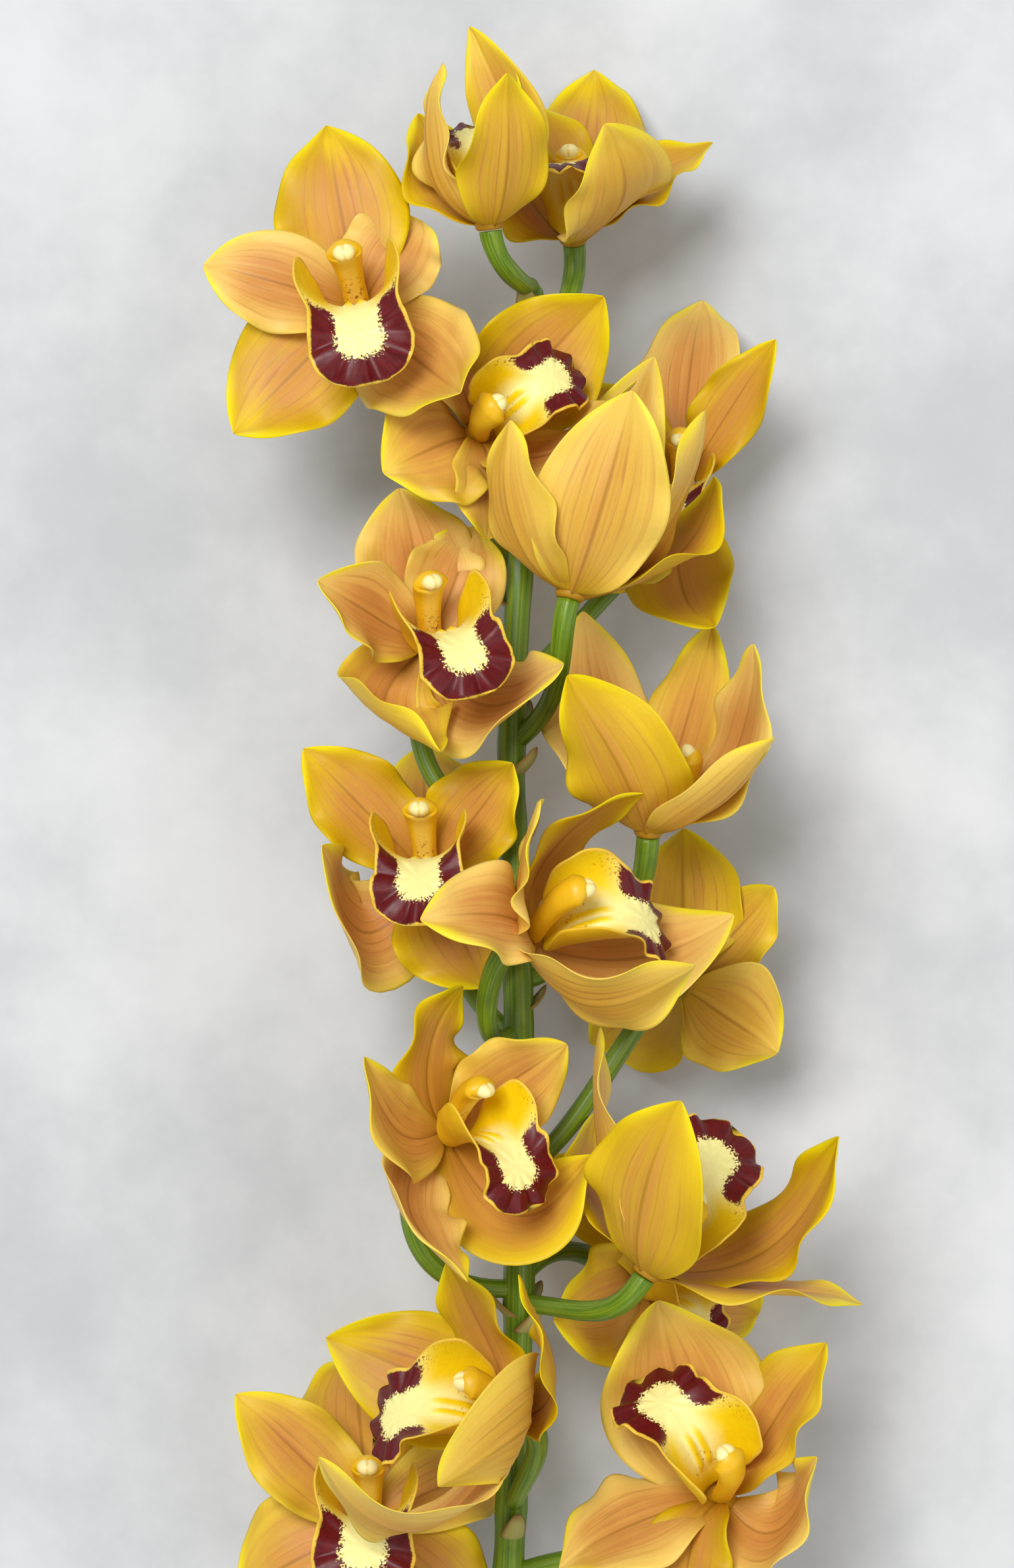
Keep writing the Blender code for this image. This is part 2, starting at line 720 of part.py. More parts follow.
def centre_over_origin(things):
    """Shifts the whole part so that its bounding box is centred on the origin in X and Y."""
    bpy.context.view_layer.update()
    corners = np.array([thing.matrix_world @ Vector(corner)
                        for thing in things for corner in thing.bound_box])
    middle = (corners.min(axis=0) + corners.max(axis=0)) / 2
    for thing in things:
        thing.location.x -= middle[0]
        thing.location.y -= middle[1]
    bpy.context.view_layer.update()


def main():
    for thing in list(bpy.data.objects):
        bpy.data.objects.remove(thing)
    yellow = material("tepal_yellow", (0.80, 0.52, 0.06), 0.5)
    lip_finish = material("lip_maroon_cream", (0.86, 0.68, 0.16), 0.5)
    column_finish = material("column_cream", (0.90, 0.74, 0.22), 0.45)
    green = material("stem_green", (0.13, 0.26, 0.03), 0.45)
    make_scape(green)
    for name, bloom in BLOOMS.items():
        make_tepals(name, bloom, yellow)
        make_lip(name, bloom, lip_finish)
        make_column(name, bloom, column_finish)
    centre_over_origin([thing for thing in bpy.data.objects if thing.type == "MESH"])


main()
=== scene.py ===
# Cut cymbidium orchid stem lying on a table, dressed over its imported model.
# Blooms, lips, columns and the green scape are surfaces worked out with numpy.
import math

import bpy
import numpy as np
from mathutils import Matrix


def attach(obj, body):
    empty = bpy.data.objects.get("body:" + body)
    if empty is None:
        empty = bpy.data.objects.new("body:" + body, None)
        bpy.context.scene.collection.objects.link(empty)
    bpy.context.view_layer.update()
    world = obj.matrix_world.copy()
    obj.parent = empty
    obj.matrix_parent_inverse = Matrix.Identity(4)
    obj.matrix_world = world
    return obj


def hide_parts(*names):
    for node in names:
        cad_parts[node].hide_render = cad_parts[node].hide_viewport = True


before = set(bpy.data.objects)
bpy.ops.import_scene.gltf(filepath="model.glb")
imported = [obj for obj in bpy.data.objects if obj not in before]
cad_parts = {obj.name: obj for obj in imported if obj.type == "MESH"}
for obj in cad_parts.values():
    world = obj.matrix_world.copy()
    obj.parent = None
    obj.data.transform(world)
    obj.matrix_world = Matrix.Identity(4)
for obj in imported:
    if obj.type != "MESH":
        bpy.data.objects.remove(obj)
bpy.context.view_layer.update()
drawingOrigin = np.array([-0.0040, -0.1295, 0.0])  # where the stem was drawn, in the frame


def mm(*values):  # millimetres to a point in metres
    return tuple(value * 0.001 for value in values)


# Where each bloom stands
# seat is where its tepals join, face the way it looks, crown its dorsal sepal's way, springs
# the place along Y where its pedicel leaves the scape; lip and droop scale the lip. Tips are
# the tepals' ends, vias the points their midribs bow towards.

blooms = {
    "bloom_01": dict(
        seat=mm(-8, 365, 82), face=(-0.12, 0.95, 0.15), crown=(0.2, -0.1, 0.97), springs=350,
        lip=0.7, droop=0.8,
        tips=dict(
            dorsal=mm(-4, 399, 113),
            left_petal=mm(-2, 402, 92),
            right_petal=mm(-21, 405, 94),
            left_sepal=mm(-14, 419, 66),
            right_sepal=mm(-26, 396, 68),
        ),
        vias=dict(
            left_sepal=mm(8, 386, 60),
            left_petal=mm(13, 380, 82),
            right_petal=mm(-31, 372, 92),
        ),
        widths=dict(right_petal=0.72, dorsal=0.7, left_petal=0.72, left_sepal=0.7, right_sepal=0.8),
        cups=dict(right_petal=38, left_sepal=40),
        stalk=mm(2, 348, 70),
    ),
    "bloom_02": dict(
        seat=mm(15, 366, 46), face=(-0.1, 0.86, 0.5), crown=(0.1, 0.5, -0.86), springs=330,
        lip=0.76, droop=0.8,
        tips=dict(
            dorsal=mm(22, 418, -5),
            left_petal=mm(2, 407, 24),
            right_petal=mm(54, 391, 40),
            left_sepal=mm(-2, 391, 50),
            right_sepal=mm(22, 390, 84),
        ),
        vias=dict(
            right_sepal=mm(36, 371, 78),
        ),
        stalk=mm(13, 343, 50),
    ),
    "bloom_03": dict(
        seat=mm(-43, 342, 74), face=(-0.05, 0.1, 1), crown=(-0.2, 0.97, 0), springs=292,
        lip=1, droop=1,
        tips=dict(
            dorsal=mm(-52, 392, 68),
            left_petal=mm(-85, 354, 78),
            right_petal=mm(-26, 367, 70),
            left_sepal=mm(-76, 308, 78),
            right_sepal=mm(-15, 316, 108),
        ),
        stalk=mm(-27, 321, 52),
    ),
    "bloom_04": dict(
        seat=mm(-11, 309, 70), face=(0.55, 0.45, 0.7), crown=(-0.66, -0.35, 0.66), springs=270,
        lip=0.78, droop=1,
        tips=dict(
            dorsal=mm(-36, 297, 88),
            left_petal=mm(-9, 280, 76),
            right_petal=mm(-34, 338, 56),
            left_sepal=mm(30, 322, 90),
            right_sepal=mm(23, 346, 68),
        ),
        vias=dict(
            left_sepal=mm(11, 293, 78),
        ),
        stalk=mm(-12, 288, 54),
    ),
    "bloom_05": dict(
        seat=mm(46, 298, 26), face=(-0.15, 0.1, 0.98), crown=(0.15, 1, 0), springs=238,
        lip=0.75, droop=1,
        tips=dict(
            dorsal=mm(53, 352, -5),
            left_petal=mm(13, 325, 30),
            right_petal=mm(71, 337, 44),
            left_sepal=mm(11, 271, 34),
            right_sepal=mm(53, 259, 56),
        ),
        vias=dict(
            right_sepal=mm(41, 262, 32),
        ),
        widths=dict(dorsal=0.8, right_petal=0.75, left_petal=0.9, right_sepal=0.85),
        cups=dict(right_petal=45),
        stalk=mm(21, 264, 20),
    ),
    "bloom_06": dict(
        seat=mm(14, 266, 84), face=(0.25, 0.93, -0.15), crown=(0, 0.2, 1), springs=225,
        lip=0.7, droop=0.7,
        tips=dict(
            dorsal=mm(30, 318, 100),
            left_petal=mm(50, 314, 82),
            right_petal=mm(-2, 310, 98),
            left_sepal=mm(52, 298, 62),
            right_sepal=mm(37, 331, 58),
        ),
        vias=dict(
            left_sepal=mm(54, 273, 66),
            right_petal=mm(-8, 277, 100),
            right_sepal=mm(18, 283, 40),
        ),
        widths=dict(right_sepal=0.85),
        stalk=mm(15, 238, 66),
    ),
    "bloom_07": dict(
        seat=mm(-24, 252, 68), face=(0.19, 0.31, 0.93), crown=(-0.32, 0.92, -0.24), springs=204,
        lip=0.92, droop=1,
        tips=dict(
            dorsal=mm(-32, 295, 64),
            left_petal=mm(-53, 268, 94),
            right_petal=mm(-12, 284, 60),
            left_sepal=mm(-20, 224, 98),
            right_sepal=mm(10, 247, 92),
        ),
        vias=dict(
            left_sepal=mm(-49, 232, 69),
            right_sepal=mm(-9, 222, 66),
        ),
        cups=dict(left_sepal=55, left_petal=45),
        twists=dict(left_sepal=-35),
        stalk=mm(-35, 207, 62),
    ),
    "bloom_08": dict(
        seat=mm(35, 203, 72), face=(0.05, 0.95, 0.25), crown=(1, -0.05, -0.1), springs=160,
        lip=0.8, droop=0.7,
        tips=dict(
            dorsal=mm(64, 252, 76),
            left_petal=mm(54, 259, 34),
            right_petal=mm(67, 227, 94),
            left_sepal=mm(18, 262, 46),
            right_sepal=mm(12, 243, 92),
        ),
        vias=dict(
            right_petal=mm(51, 202, 94),
            right_sepal=mm(30, 216, 104),
        ),
        widths=dict(left_petal=0.85),
        cups=dict(right_petal=45),
        stalk=mm(31, 171, 40),
    ),
    "bloom_09": dict(
        seat=mm(-25, 190, 60), face=(-0.07, 0.38, 0.92), crown=(-0.02, 0.91, -0.4), springs=144,
        lip=0.92, droop=1,
        tips=dict(
            dorsal=mm(-27, 225, 24),
            left_petal=mm(-58, 224, 66),
            right_petal=mm(-1, 220, 72),
            left_sepal=mm(-51, 198, 84),
            right_sepal=mm(-9, 159, 66),
        ),
        vias=dict(
            left_sepal=mm(-47, 155, 46),
            dorsal=mm(-26, 210, 36),
        ),
        stalk=mm(-20, 158, 46),
    ),
    "bloom_10": dict(
        seat=mm(3, 174, 88), face=(0.87, 0.36, 0.33), crown=(-0.46, 0.5, 0.73), springs=148,
        lip=0.94, droop=1,
        tips=dict(
            dorsal=mm(6, 210, 116),
            left_petal=mm(-25, 180, 124),
            right_petal=mm(33, 212, 92),
            left_sepal=mm(45, 168, 118),
            right_sepal=mm(58, 179, 74),
        ),
        vias=dict(
            left_sepal=mm(14, 145, 124),
            right_petal=mm(2, 202, 84),
            right_sepal=mm(31, 159, 67),
        ),
        stalk=mm(-12, 134, 68),
    ),
    "bloom_11": dict(
        seat=mm(46, 159, 36), face=(0.5, 0.1, -0.8), crown=(0.1, 1, 0), springs=108,
        lip=0.8, droop=0.9,
        tips=dict(
            dorsal=mm(46, 202, 30),
            left_petal=mm(71, 186, 46),
            right_petal=mm(13, 176, 24),
            left_sepal=mm(72, 140, 40),
            right_sepal=mm(21, 141, 8),
        ),
        widths=dict(left_petal=0.8),
    ),
    "bloom_12": dict(
        seat=mm(-19, 121, 70), face=(0.59, 0.12, 0.8), crown=(-0.26, 0.96, 0.05), springs=76,
        lip=0.86, droop=1,
        tips=dict(
            dorsal=mm(-15, 160, 74),
            left_petal=mm(-40, 143, 104),
            right_petal=mm(13, 144, 74),
            left_sepal=mm(-13, 85, 108),
            right_sepal=mm(19, 115, 76),
        ),
        vias=dict(
            left_sepal=mm(-41, 102, 84),
            right_sepal=mm(0, 79, 66),
            left_petal=mm(-36, 115, 96),
            dorsal=mm(-31, 141, 84),
        ),
        widths=dict(dorsal=0.8, left_sepal=0.85),
        cups=dict(left_sepal=45),
        stalk=mm(-41, 73, 58),
    ),
    "bloom_13": dict(
        seat=mm(35, 85, 80), face=(0.53, 0.85, 0.0), crown=(0, 0, 1), springs=72,
        lip=0.98, droop=0.45,
        tips=dict(
            dorsal=mm(42, 132, 112),
            left_petal=mm(86, 120, 80),
            right_petal=mm(22, 149, 74),
            left_sepal=mm(93, 76, 70),
            right_sepal=mm(20, 124, 48),
        ),
        vias=dict(
            left_petal=mm(77, 77, 50),
            right_sepal=mm(21, 97, 56),
            right_petal=mm(16, 116, 82),
        ),
        widths=dict(dorsal=1.1, left_petal=1.15, right_petal=1.15),
        stalk=mm(18, 72, 66),
    ),
    "bloom_14": dict(
        seat=mm(36, 75, 30), face=(0.65, -0.1, 0.65), crown=(-0.1, 1, 0), springs=78,
        lip=0.7, droop=1,
        tips=dict(
            dorsal=mm(37, 122, 22),
            left_petal=mm(2, 109, 20),
            right_petal=mm(69, 63, -5),
            left_sepal=mm(9, 68, 52),
            right_sepal=mm(51, 29, 20),
        ),
        stalk=mm(13, 94, 40),
    ),
    "bloom_15": dict(
        seat=mm(-2, 43, 70), face=(-0.83, 0.31, 0.46), crown=(0.53, 0.55, 0.64), springs=14,
        lip=0.95, droop=1,
        tips=dict(
            dorsal=mm(-2, 84, 96),
            left_petal=mm(-19, 85, 66),
            right_petal=mm(-21, 31, 110),
            left_sepal=mm(-53, 62, 48),
            right_sepal=mm(-53, 38, 104),
        ),
        vias=dict(
            dorsal=mm(19, 52, 92),
            right_petal=mm(10, 52, 116),
            right_sepal=mm(-26, -3, 104),
        ),
        widths=dict(right_petal=1.4, dorsal=0.8),
    ),
    "bloom_16": dict(
        seat=mm(55, 21, 62), face=(-0.28, 0.78, 0.56), crown=(0.62, -0.28, 0.72), springs=-6,
        lip=0.96, droop=1,
        tips=dict(
            dorsal=mm(79, 35, 84),
            left_petal=mm(84, 62, 60),
            right_petal=mm(46, -19, 66),
            left_sepal=mm(38, 73, 60),
            right_sepal=mm(11, 1, 62),
        ),
        vias=dict(
            dorsal=mm(71, -1, 70),
            left_sepal=mm(46, 41, 42),
        ),
        widths=dict(left_petal=1.1, left_sepal=1.3),
    ),
    "bloom_17": dict(
        seat=mm(-41, 9, 40), face=(-0.02, 0.4, 0.91), crown=(0.02, 0.91, -0.4), springs=-22,
        lip=1, droop=1,
        tips=dict(
            dorsal=mm(-47, 50, -5),
            left_petal=mm(-78, 46, 44),
            right_petal=mm(-5, 19, 14),
            left_sepal=mm(-77, -11, 36),
            right_sepal=mm(-11, -23, 38),
        ),
    ),
}


# Points and directions

def unit(vector):
    vector = np.asarray(vector, float)
    return vector / np.maximum(np.linalg.norm(vector, axis=-1, keepdims=True), 1e-12)


def smoothStep(value, low, high):  # 0 below low, 1 above high, an even S between
    share = np.clip((value - low) / (high - low), 0, 1)
    return share * share * (3 - 2 * share)


def smoothLine(points, count):  # Catmull-Rom curve through the points
    knots = np.asarray(points, float)
    ends = np.vstack([2 * knots[0] - knots[1], knots, 2 * knots[-1] - knots[-2]])
    at = np.linspace(0, len(knots) - 1, count)
    first = np.minimum(at.astype(int), len(knots) - 2)
    u = (at - first)[:, None]
    a, b, c, d = (ends[first + k] for k in range(4))
    return 0.5 * (2 * b + (c - a) * u + (2 * a - 5 * b + 4 * c - d) * u**2
                  + (3 * b - a - 3 * c + d) * u**3)


def softValues(places, values, at, blur=0.035):  # straight steps between places, then blurred
    fine = np.linspace(-0.15, 1.15, 521)
    line = np.interp(fine, places, values)
    reach = np.arange(-60, 61) * (fine[1] - fine[0])
    weight = np.exp(-0.5 * (reach / blur) ** 2)
    soft = np.convolve(np.pad(line, 60, mode="edge"), weight / weight.sum(), mode="valid")
    return np.interp(at, fine, soft)


def arcSection(across, halfWidth, wrap):  # a strip bent to an arc whose edge turns by wrap
    wrap = np.where(np.abs(wrap) < 0.02, 0.02, wrap)
    radius = halfWidth / wrap
    return radius * np.sin(across * wrap), radius * (1 - np.cos(across * wrap))


def onTable(height, rest, reach=0.004):  # held at rest or above, with a soft bend
    over = height - rest
    eased = (over + reach) ** 2 / (4 * reach)
    return rest + np.where(over < -reach, 0, np.where(over < reach, eased, over))


def bloomAxes(bloom):  # seat, right-hand side, crown and face of a bloom
    face = unit(bloom["face"])
    crown = np.asarray(bloom["crown"], float)
    crown = unit(crown - face * (crown @ face))
    return np.asarray(bloom["seat"]), np.cross(crown, face), crown, face


def carriedSides(line, firstFront):  # side and front carried along a line without turning
    along = unit(np.gradient(line, axis=0))
    fronts, front = [], firstFront
    for way in along:
        front = unit(front - way * (front @ way))
        fronts.append(front)
    fronts = np.array(fronts)
    return np.cross(fronts, along), fronts


def gridNormals(grid):  # unit normals of a grid of points from its differences
    normals = np.cross(np.gradient(grid, axis=0), np.gradient(grid, axis=1))
    normals[-1] = normals[-2]
    return unit(normals)


# Meshes

def bladeShell(grid, thickness, marks):
    # Two skins half a thickness each side of the grid, sewn along both edges and the foot,
    # and closed at the tip in one point; marks are values kept at every point
    rows, columns = grid.shape[:2]
    body, layer = grid[:-1], (rows - 1) * columns
    offset = (gridNormals(grid) * thickness[..., None] / 2)[:-1]
    tip = grid[-1].mean(axis=0)
    points = np.vstack([(body + offset).reshape(-1, 3), (body - offset).reshape(-1, 3), tip])
    index = np.arange(layer).reshape(rows - 1, columns)
    a, b, c, d = index[:-1, :-1], index[:-1, 1:], index[1:, 1:], index[1:, :-1]
    left, right, foot, last = index[:, 0], index[:, -1], index[0], index[-1]
    quads = np.vstack([
        np.stack([a, d, c, b], -1).reshape(-1, 4),
        np.stack([a, b, c, d], -1).reshape(-1, 4) + layer,
        np.stack([left[:-1], left[:-1] + layer, left[1:] + layer, left[1:]], -1),
        np.stack([right[1:], right[1:] + layer, right[:-1] + layer, right[:-1]], -1),
        np.stack([foot[:-1], foot[1:], foot[1:] + layer, foot[:-1] + layer], -1),
    ])
    peak = np.full(columns - 1, 2 * layer)
    fan = np.vstack([
        np.stack([last[:-1], peak, last[1:]], -1),
        np.stack([last[1:] + layer, peak, last[:-1] + layer], -1),
        [[last[0], last[0] + layer, 2 * layer], [last[-1] + layer, last[-1], 2 * layer]],
    ])
    kept = {name: np.concatenate([np.tile(value[:-1].ravel(), 2), [value[-1].mean()]])
            for name, value in marks.items()}
    kept["front"] = np.concatenate([np.ones(layer), np.zeros(layer), [0.5]])
    return points, quads.tolist() + fan.tolist(), kept


def tubeShell(rings, marks):
    # A closed tube through rings of points, each end closed by one face
    count, sides = rings.shape[:2]
    index = np.arange(count * sides).reshape(count, sides)
    turned = np.roll(index, -1, axis=1)
    quads = np.stack([index[:-1], turned[:-1], turned[1:], index[1:]], -1).reshape(-1, 4)
    faces = quads.tolist() + [index[0][::-1].tolist(), index[-1].tolist()]
    return rings.reshape(-1, 3), faces, {name: value.ravel() for name, value in marks.items()}


def ringsAlong(centres, radii, angles, firstAcross, flatten=1.0):
    # Rings of points round a line: radius times cosine across and sine over, flattened over
    centres = np.asarray(centres, float)
    along = unit(np.gradient(centres, axis=0))
    acrosses, across = [], firstAcross
    for way in along:
        across = unit(across - way * (across @ way))
        acrosses.append(across)
    acrosses = np.array(acrosses)
    overs = np.cross(along, acrosses)
    return (centres[:, None] + (radii * np.cos(angles))[..., None] * acrosses[:, None]
            + (radii * np.sin(angles) * flatten)[..., None] * overs[:, None])


def makePiece(name, shells, finish, nodes):
    # One mesh object from its shells, with their marks as attributes, riding on the root
    points, faces, marks, start = [], [], {}, 0
    for shellPoints, shellFaces, shellMarks in shells:
        points.append(shellPoints + drawingOrigin)
        faces += [[corner + start for corner in face] for face in shellFaces]
        start += len(shellPoints)
        for key, value in shellMarks.items():
            marks.setdefault(key, []).append(value)
    mesh = bpy.data.meshes.new(name)
    mesh.from_pydata(np.vstack(points).tolist(), [], faces)
    mesh.shade_smooth()
    for key, values in marks.items():
        layer = mesh.attributes.new(key, "FLOAT", "POINT")
        layer.data.foreach_set("value", np.concatenate(values).astype(np.float32))
    mesh.materials.append(finish)
    piece = bpy.data.objects.new(name, mesh)
    bpy.context.scene.collection.objects.link(piece)
    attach(piece, "root")
    if nodes:
        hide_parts(*nodes)
    return piece


# Paint: shader maths as Python expressions

class Wire:  # a shader socket that adds, scales and compares like a number
    def __init__(self, paint, socket):
        self.paint, self.socket = paint, socket

    def __add__(self, other):
        return self.paint.maths("ADD", self, other)

    def __sub__(self, other):
        return self.paint.maths("SUBTRACT", self, other)

    def __rsub__(self, other):
        return self.paint.maths("SUBTRACT", other, self)

    def __mul__(self, other):
        return self.paint.maths("MULTIPLY", self, other)

    def __truediv__(self, other):
        return self.paint.maths("DIVIDE", self, other)

    def __pow__(self, other):
        return self.paint.maths("POWER", self, other)

    def __abs__(self):
        return self.paint.maths("ABSOLUTE", self)

    __radd__ = __add__
    __rmul__ = __mul__


class Paint:  # one material, its nodes and its Principled shader
    def __init__(self, name, **fixed):
        self.material = bpy.data.materials.new(name)
        self.material.use_nodes = True
        self.tree = self.material.node_tree
        self.shader = self.tree.nodes["Principled BSDF"]
        for socket, value in fixed.items():
            self.shader.inputs[socket.replace("_", " ")].default_value = value

    def node(self, kind, settings=None, **sockets):  # sockets by name, or i0, i1 by number
        made = self.tree.nodes.new(kind)
        for key, value in (settings or {}).items():
            setattr(made, key, value)
        for key, value in sockets.items():
            numbered = key[0] == "i" and key[1:].isdigit()
            socket = made.inputs[int(key[1:]) if numbered else key.replace("_", " ")]
            if isinstance(value, Wire):
                self.tree.links.new(value.socket, socket)
            else:
                socket.default_value = value
        return made

    def maths(self, operation, first, second=0.0):
        made = self.node("ShaderNodeMath", {"operation": operation}, i0=first, i1=second)
        return Wire(self, made.outputs[0])

    def mark(self, name):  # a value kept at the mesh's points
        made = self.node("ShaderNodeAttribute", {"attribute_name": name})
        return Wire(self, made.outputs["Fac"])

    def place(self):
        return Wire(self, self.node("ShaderNodeTexCoord").outputs["Object"])

    def point(self, x, y, z=0.0):
        return Wire(self, self.node("ShaderNodeCombineXYZ", X=x, Y=y, Z=z).outputs[0])

    def noise(self, at, scale, detail=3.0, roughness=0.55):
        made = self.node("ShaderNodeTexNoise", Vector=at, Scale=scale, Detail=detail,
                         Roughness=roughness)
        return Wire(self, made.outputs["Fac"])

    def step(self, value, low, high):  # smooth step from 0 at low to 1 at high
        made = self.node("ShaderNodeMapRange", {"interpolation_type": "SMOOTHSTEP"},
                         Value=value, From_Min=low, From_Max=high)
        return Wire(self, made.outputs[0])

    def blend(self, share, first, second):  # colours mixed by a share
        made = self.node("ShaderNodeMix", {"data_type": "RGBA"}, i0=share, i6=first, i7=second)
        return Wire(self, made.outputs[2])

    def tint(self, colour, value):  # a colour scaled by a value
        made = self.node("ShaderNodeVectorMath", {"operation": "SCALE"}, i0=colour, Scale=value)
        return Wire(self, made.outputs[0])

    def relief(self, height, strength, distance):
        made = self.node("ShaderNodeBump", Height=height, Strength=strength, Distance=distance)
        self.tree.links.new(made.outputs[0], self.shader.inputs["Normal"])

    def feed(self, socket, value):
        self.tree.links.new(value.socket, self.shader.inputs[socket])


def rgb(red, green, blue):  # screen colour 0 to 255 to the shader's linear colour
    return tuple((v / 12.92 if v <= 0.04045 else ((v + 0.055) / 1.055) ** 2.4)
                 for v in (red / 255, green / 255, blue / 255)) + (1.0,)


# Tepals: three sepals and two petals of a bloom, and the hub they join

tepal = dict(
    parts=("dorsal", "left_petal", "right_petal", "left_sepal", "right_sepal"),
    sepalWidth=0.037, petalWidth=0.029, sepalRise=22, petalRise=30, sepalCup=18, petalCup=30,
    thick=0.00080, thinEdge=0.00020, wave=0.0021, buckle=0.0010, rollBack=0.0018, hook=0.0022,
    groove=0.00080, vein=0.00007,
    rows=42, columns=27,
)
tepalFinish = dict(
    golden=rgb(228, 194, 0), pale=rgb(240, 200, 106), amber=rgb(184, 138, 0),
    # the margin and tip yellow on this line is partly the tepal's own colour, partly a painted glow of light through
    # the thin edges
    dusk=rgb(204, 140, 70), lemonAndGlow=rgb(250, 232, 10), back=rgb(224, 188, 34),
    # the claw colour is painted shade, darkening the tepals toward their bases by the hub
    vein=rgb(142, 90, 26), claw=rgb(174, 124, 6),
)


def tepalProfile(at, petal):  # narrow claw, full middle, short point
    claw, widest = (0.18, 0.50) if petal else (0.16, 0.46)
    swell = claw + (1 - claw) * np.sin(np.pi / 2 * np.minimum(at / widest, 1)) ** 0.8
    beyond = np.clip((at - widest) / (1 - widest), 0, 1)
    return swell * (1 - beyond**1.9) ** 0.85


def tepalShell(bloom, part, chance):
    # Midrib: a quadratic bow from the hub to the tip. Across it an arc, wider in the middle,
    # its edges waved and rolled back, the midrib sunk, with fine ribs where the veins run
    seat, right, crown, face = bloomAxes(bloom)
    petal = part.endswith("petal")
    tip = np.asarray(bloom["tips"][part])
    via = bloom.get("vias", {}).get(part)
    outward = (tip if via is None else np.asarray(via)) - seat
    outward = unit(outward - face * (outward @ face))
    root = seat + outward * 0.0024 + face * (-0.0003 if petal else -0.0014)
    rise = math.radians(tepal["petalRise"] if petal else tepal["sepalRise"])
    if via is None:
        via = root + (outward * math.cos(rise) + face * math.sin(rise)) * math.dist(tip, root) / 2
    u = np.linspace(0, 1, 121)[:, None]
    midrib = (1 - u) ** 2 * root + 2 * u * (1 - u) * np.asarray(via) + u**2 * tip
    side, front = carriedSides(midrib, face * math.cos(rise) - outward * math.sin(rise))
    length = np.concatenate([[0], np.cumsum(np.linalg.norm(np.diff(midrib, axis=0), axis=1))])
    fine = length / length[-1]
    swing = chance.uniform(-7, 7) + bloom.get("twists", {}).get(part, 0)
    twist = np.radians(swing * fine**1.5)[:, None]
    side, front = side * np.cos(twist) + front * np.sin(twist), front * np.cos(twist) - side * np.sin(twist)
    steps = np.linspace(0, 1, tepal["rows"])
    at = 1 - (1 - steps) ** 1.45
    centre, side, front = (
        np.stack([np.interp(at, fine, line[:, k]) for k in range(3)], 1)[:, None, :]
        for line in (midrib, side, front))
    v = np.sin(np.linspace(-1, 1, tepal["columns"]) * np.pi / 2) * 0.35 + np.linspace(-1, 1, tepal["columns"]) * 0.65
    v, t = v[None, :], at[:, None]
    width = (tepal["petalWidth"] if petal else tepal["sepalWidth"]) * bloom.get("widths", {}).get(part, 1)
    half = width / 2 * tepalProfile(t, petal)
    cup = bloom.get("cups", {}).get(part, tepal["petalCup"] if petal else tepal["sepalCup"])
    wrap = np.radians(cup * (0.7 + 0.5 * t) * chance.uniform(0.85, 1.15))
    sideways, lifted = arcSection(v, half, wrap)
    swell = np.sin(np.pi * np.clip(t, 0, 1)) ** 0.7
    edge = np.abs(v) ** 3
    phases, waves = chance.uniform(0, 2 * np.pi, 2), chance.uniform(1.4, 3.2, 2)
    phase = np.where(v < 0, phases[0], phases[1])
    count = np.where(v < 0, waves[0], waves[1])
    lifted = lifted + tepal["wave"] * edge * swell * np.sin(2 * np.pi * count * t + phase)
    ripple, slant = chance.uniform(0, 2 * np.pi), chance.uniform(-2.5, 2.5)
    lifted = lifted + tepal["buckle"] * swell * np.sin(8.0 * t + slant * v + ripple) * (0.3 + v**2)
    lifted = lifted - tepal["rollBack"] * np.abs(v) ** 6 * swell * chance.uniform(0.2, 1.2)
    lifted = lifted + tepal["hook"] * chance.uniform(-1.0, 0.6) * smoothStep(t, 0.78, 1.0) ** 2
    lifted = lifted - tepal["groove"] * np.exp(-(v / 0.06) ** 2) * (1 - t) ** 0.4
    lifted = lifted + tepal["vein"] * np.cos(2 * np.pi * 5.5 * v) * swell
    grid = centre + sideways[..., None] * side + lifted[..., None] * front
    thickness = tepal["thinEdge"] + (tepal["thick"] - tepal["thinEdge"]) * (1 - v**4) * (1 - t**8)
    grid[..., 2] = onTable(grid[..., 2], 0.0005)
    marks = dict(along=t + 0 * v, across=v + 0 * t, tone=0 * t * v + chance.uniform(0, 1))
    return bladeShell(grid, thickness, marks)


def hubShell(bloom):  # a short rounded drum behind the tepals' feet
    seat, right, crown, face = bloomAxes(bloom)
    reach = np.linspace(0, 1, 9)
    centres = seat + face * (-0.0028 + 0.0036 * reach)[:, None]
    radii = 0.0040 * np.sqrt(1 - (0.78 * (2 * reach - 1)) ** 4)[:, None]
    angles = np.linspace(0, 2 * np.pi, 24, endpoint=False)[None, :]
    rings = ringsAlong(centres, radii, angles, right)
    flat = np.zeros(rings.shape[:2])
    return tubeShell(rings, dict(along=flat, across=flat, tone=flat + 0.5, front=flat))


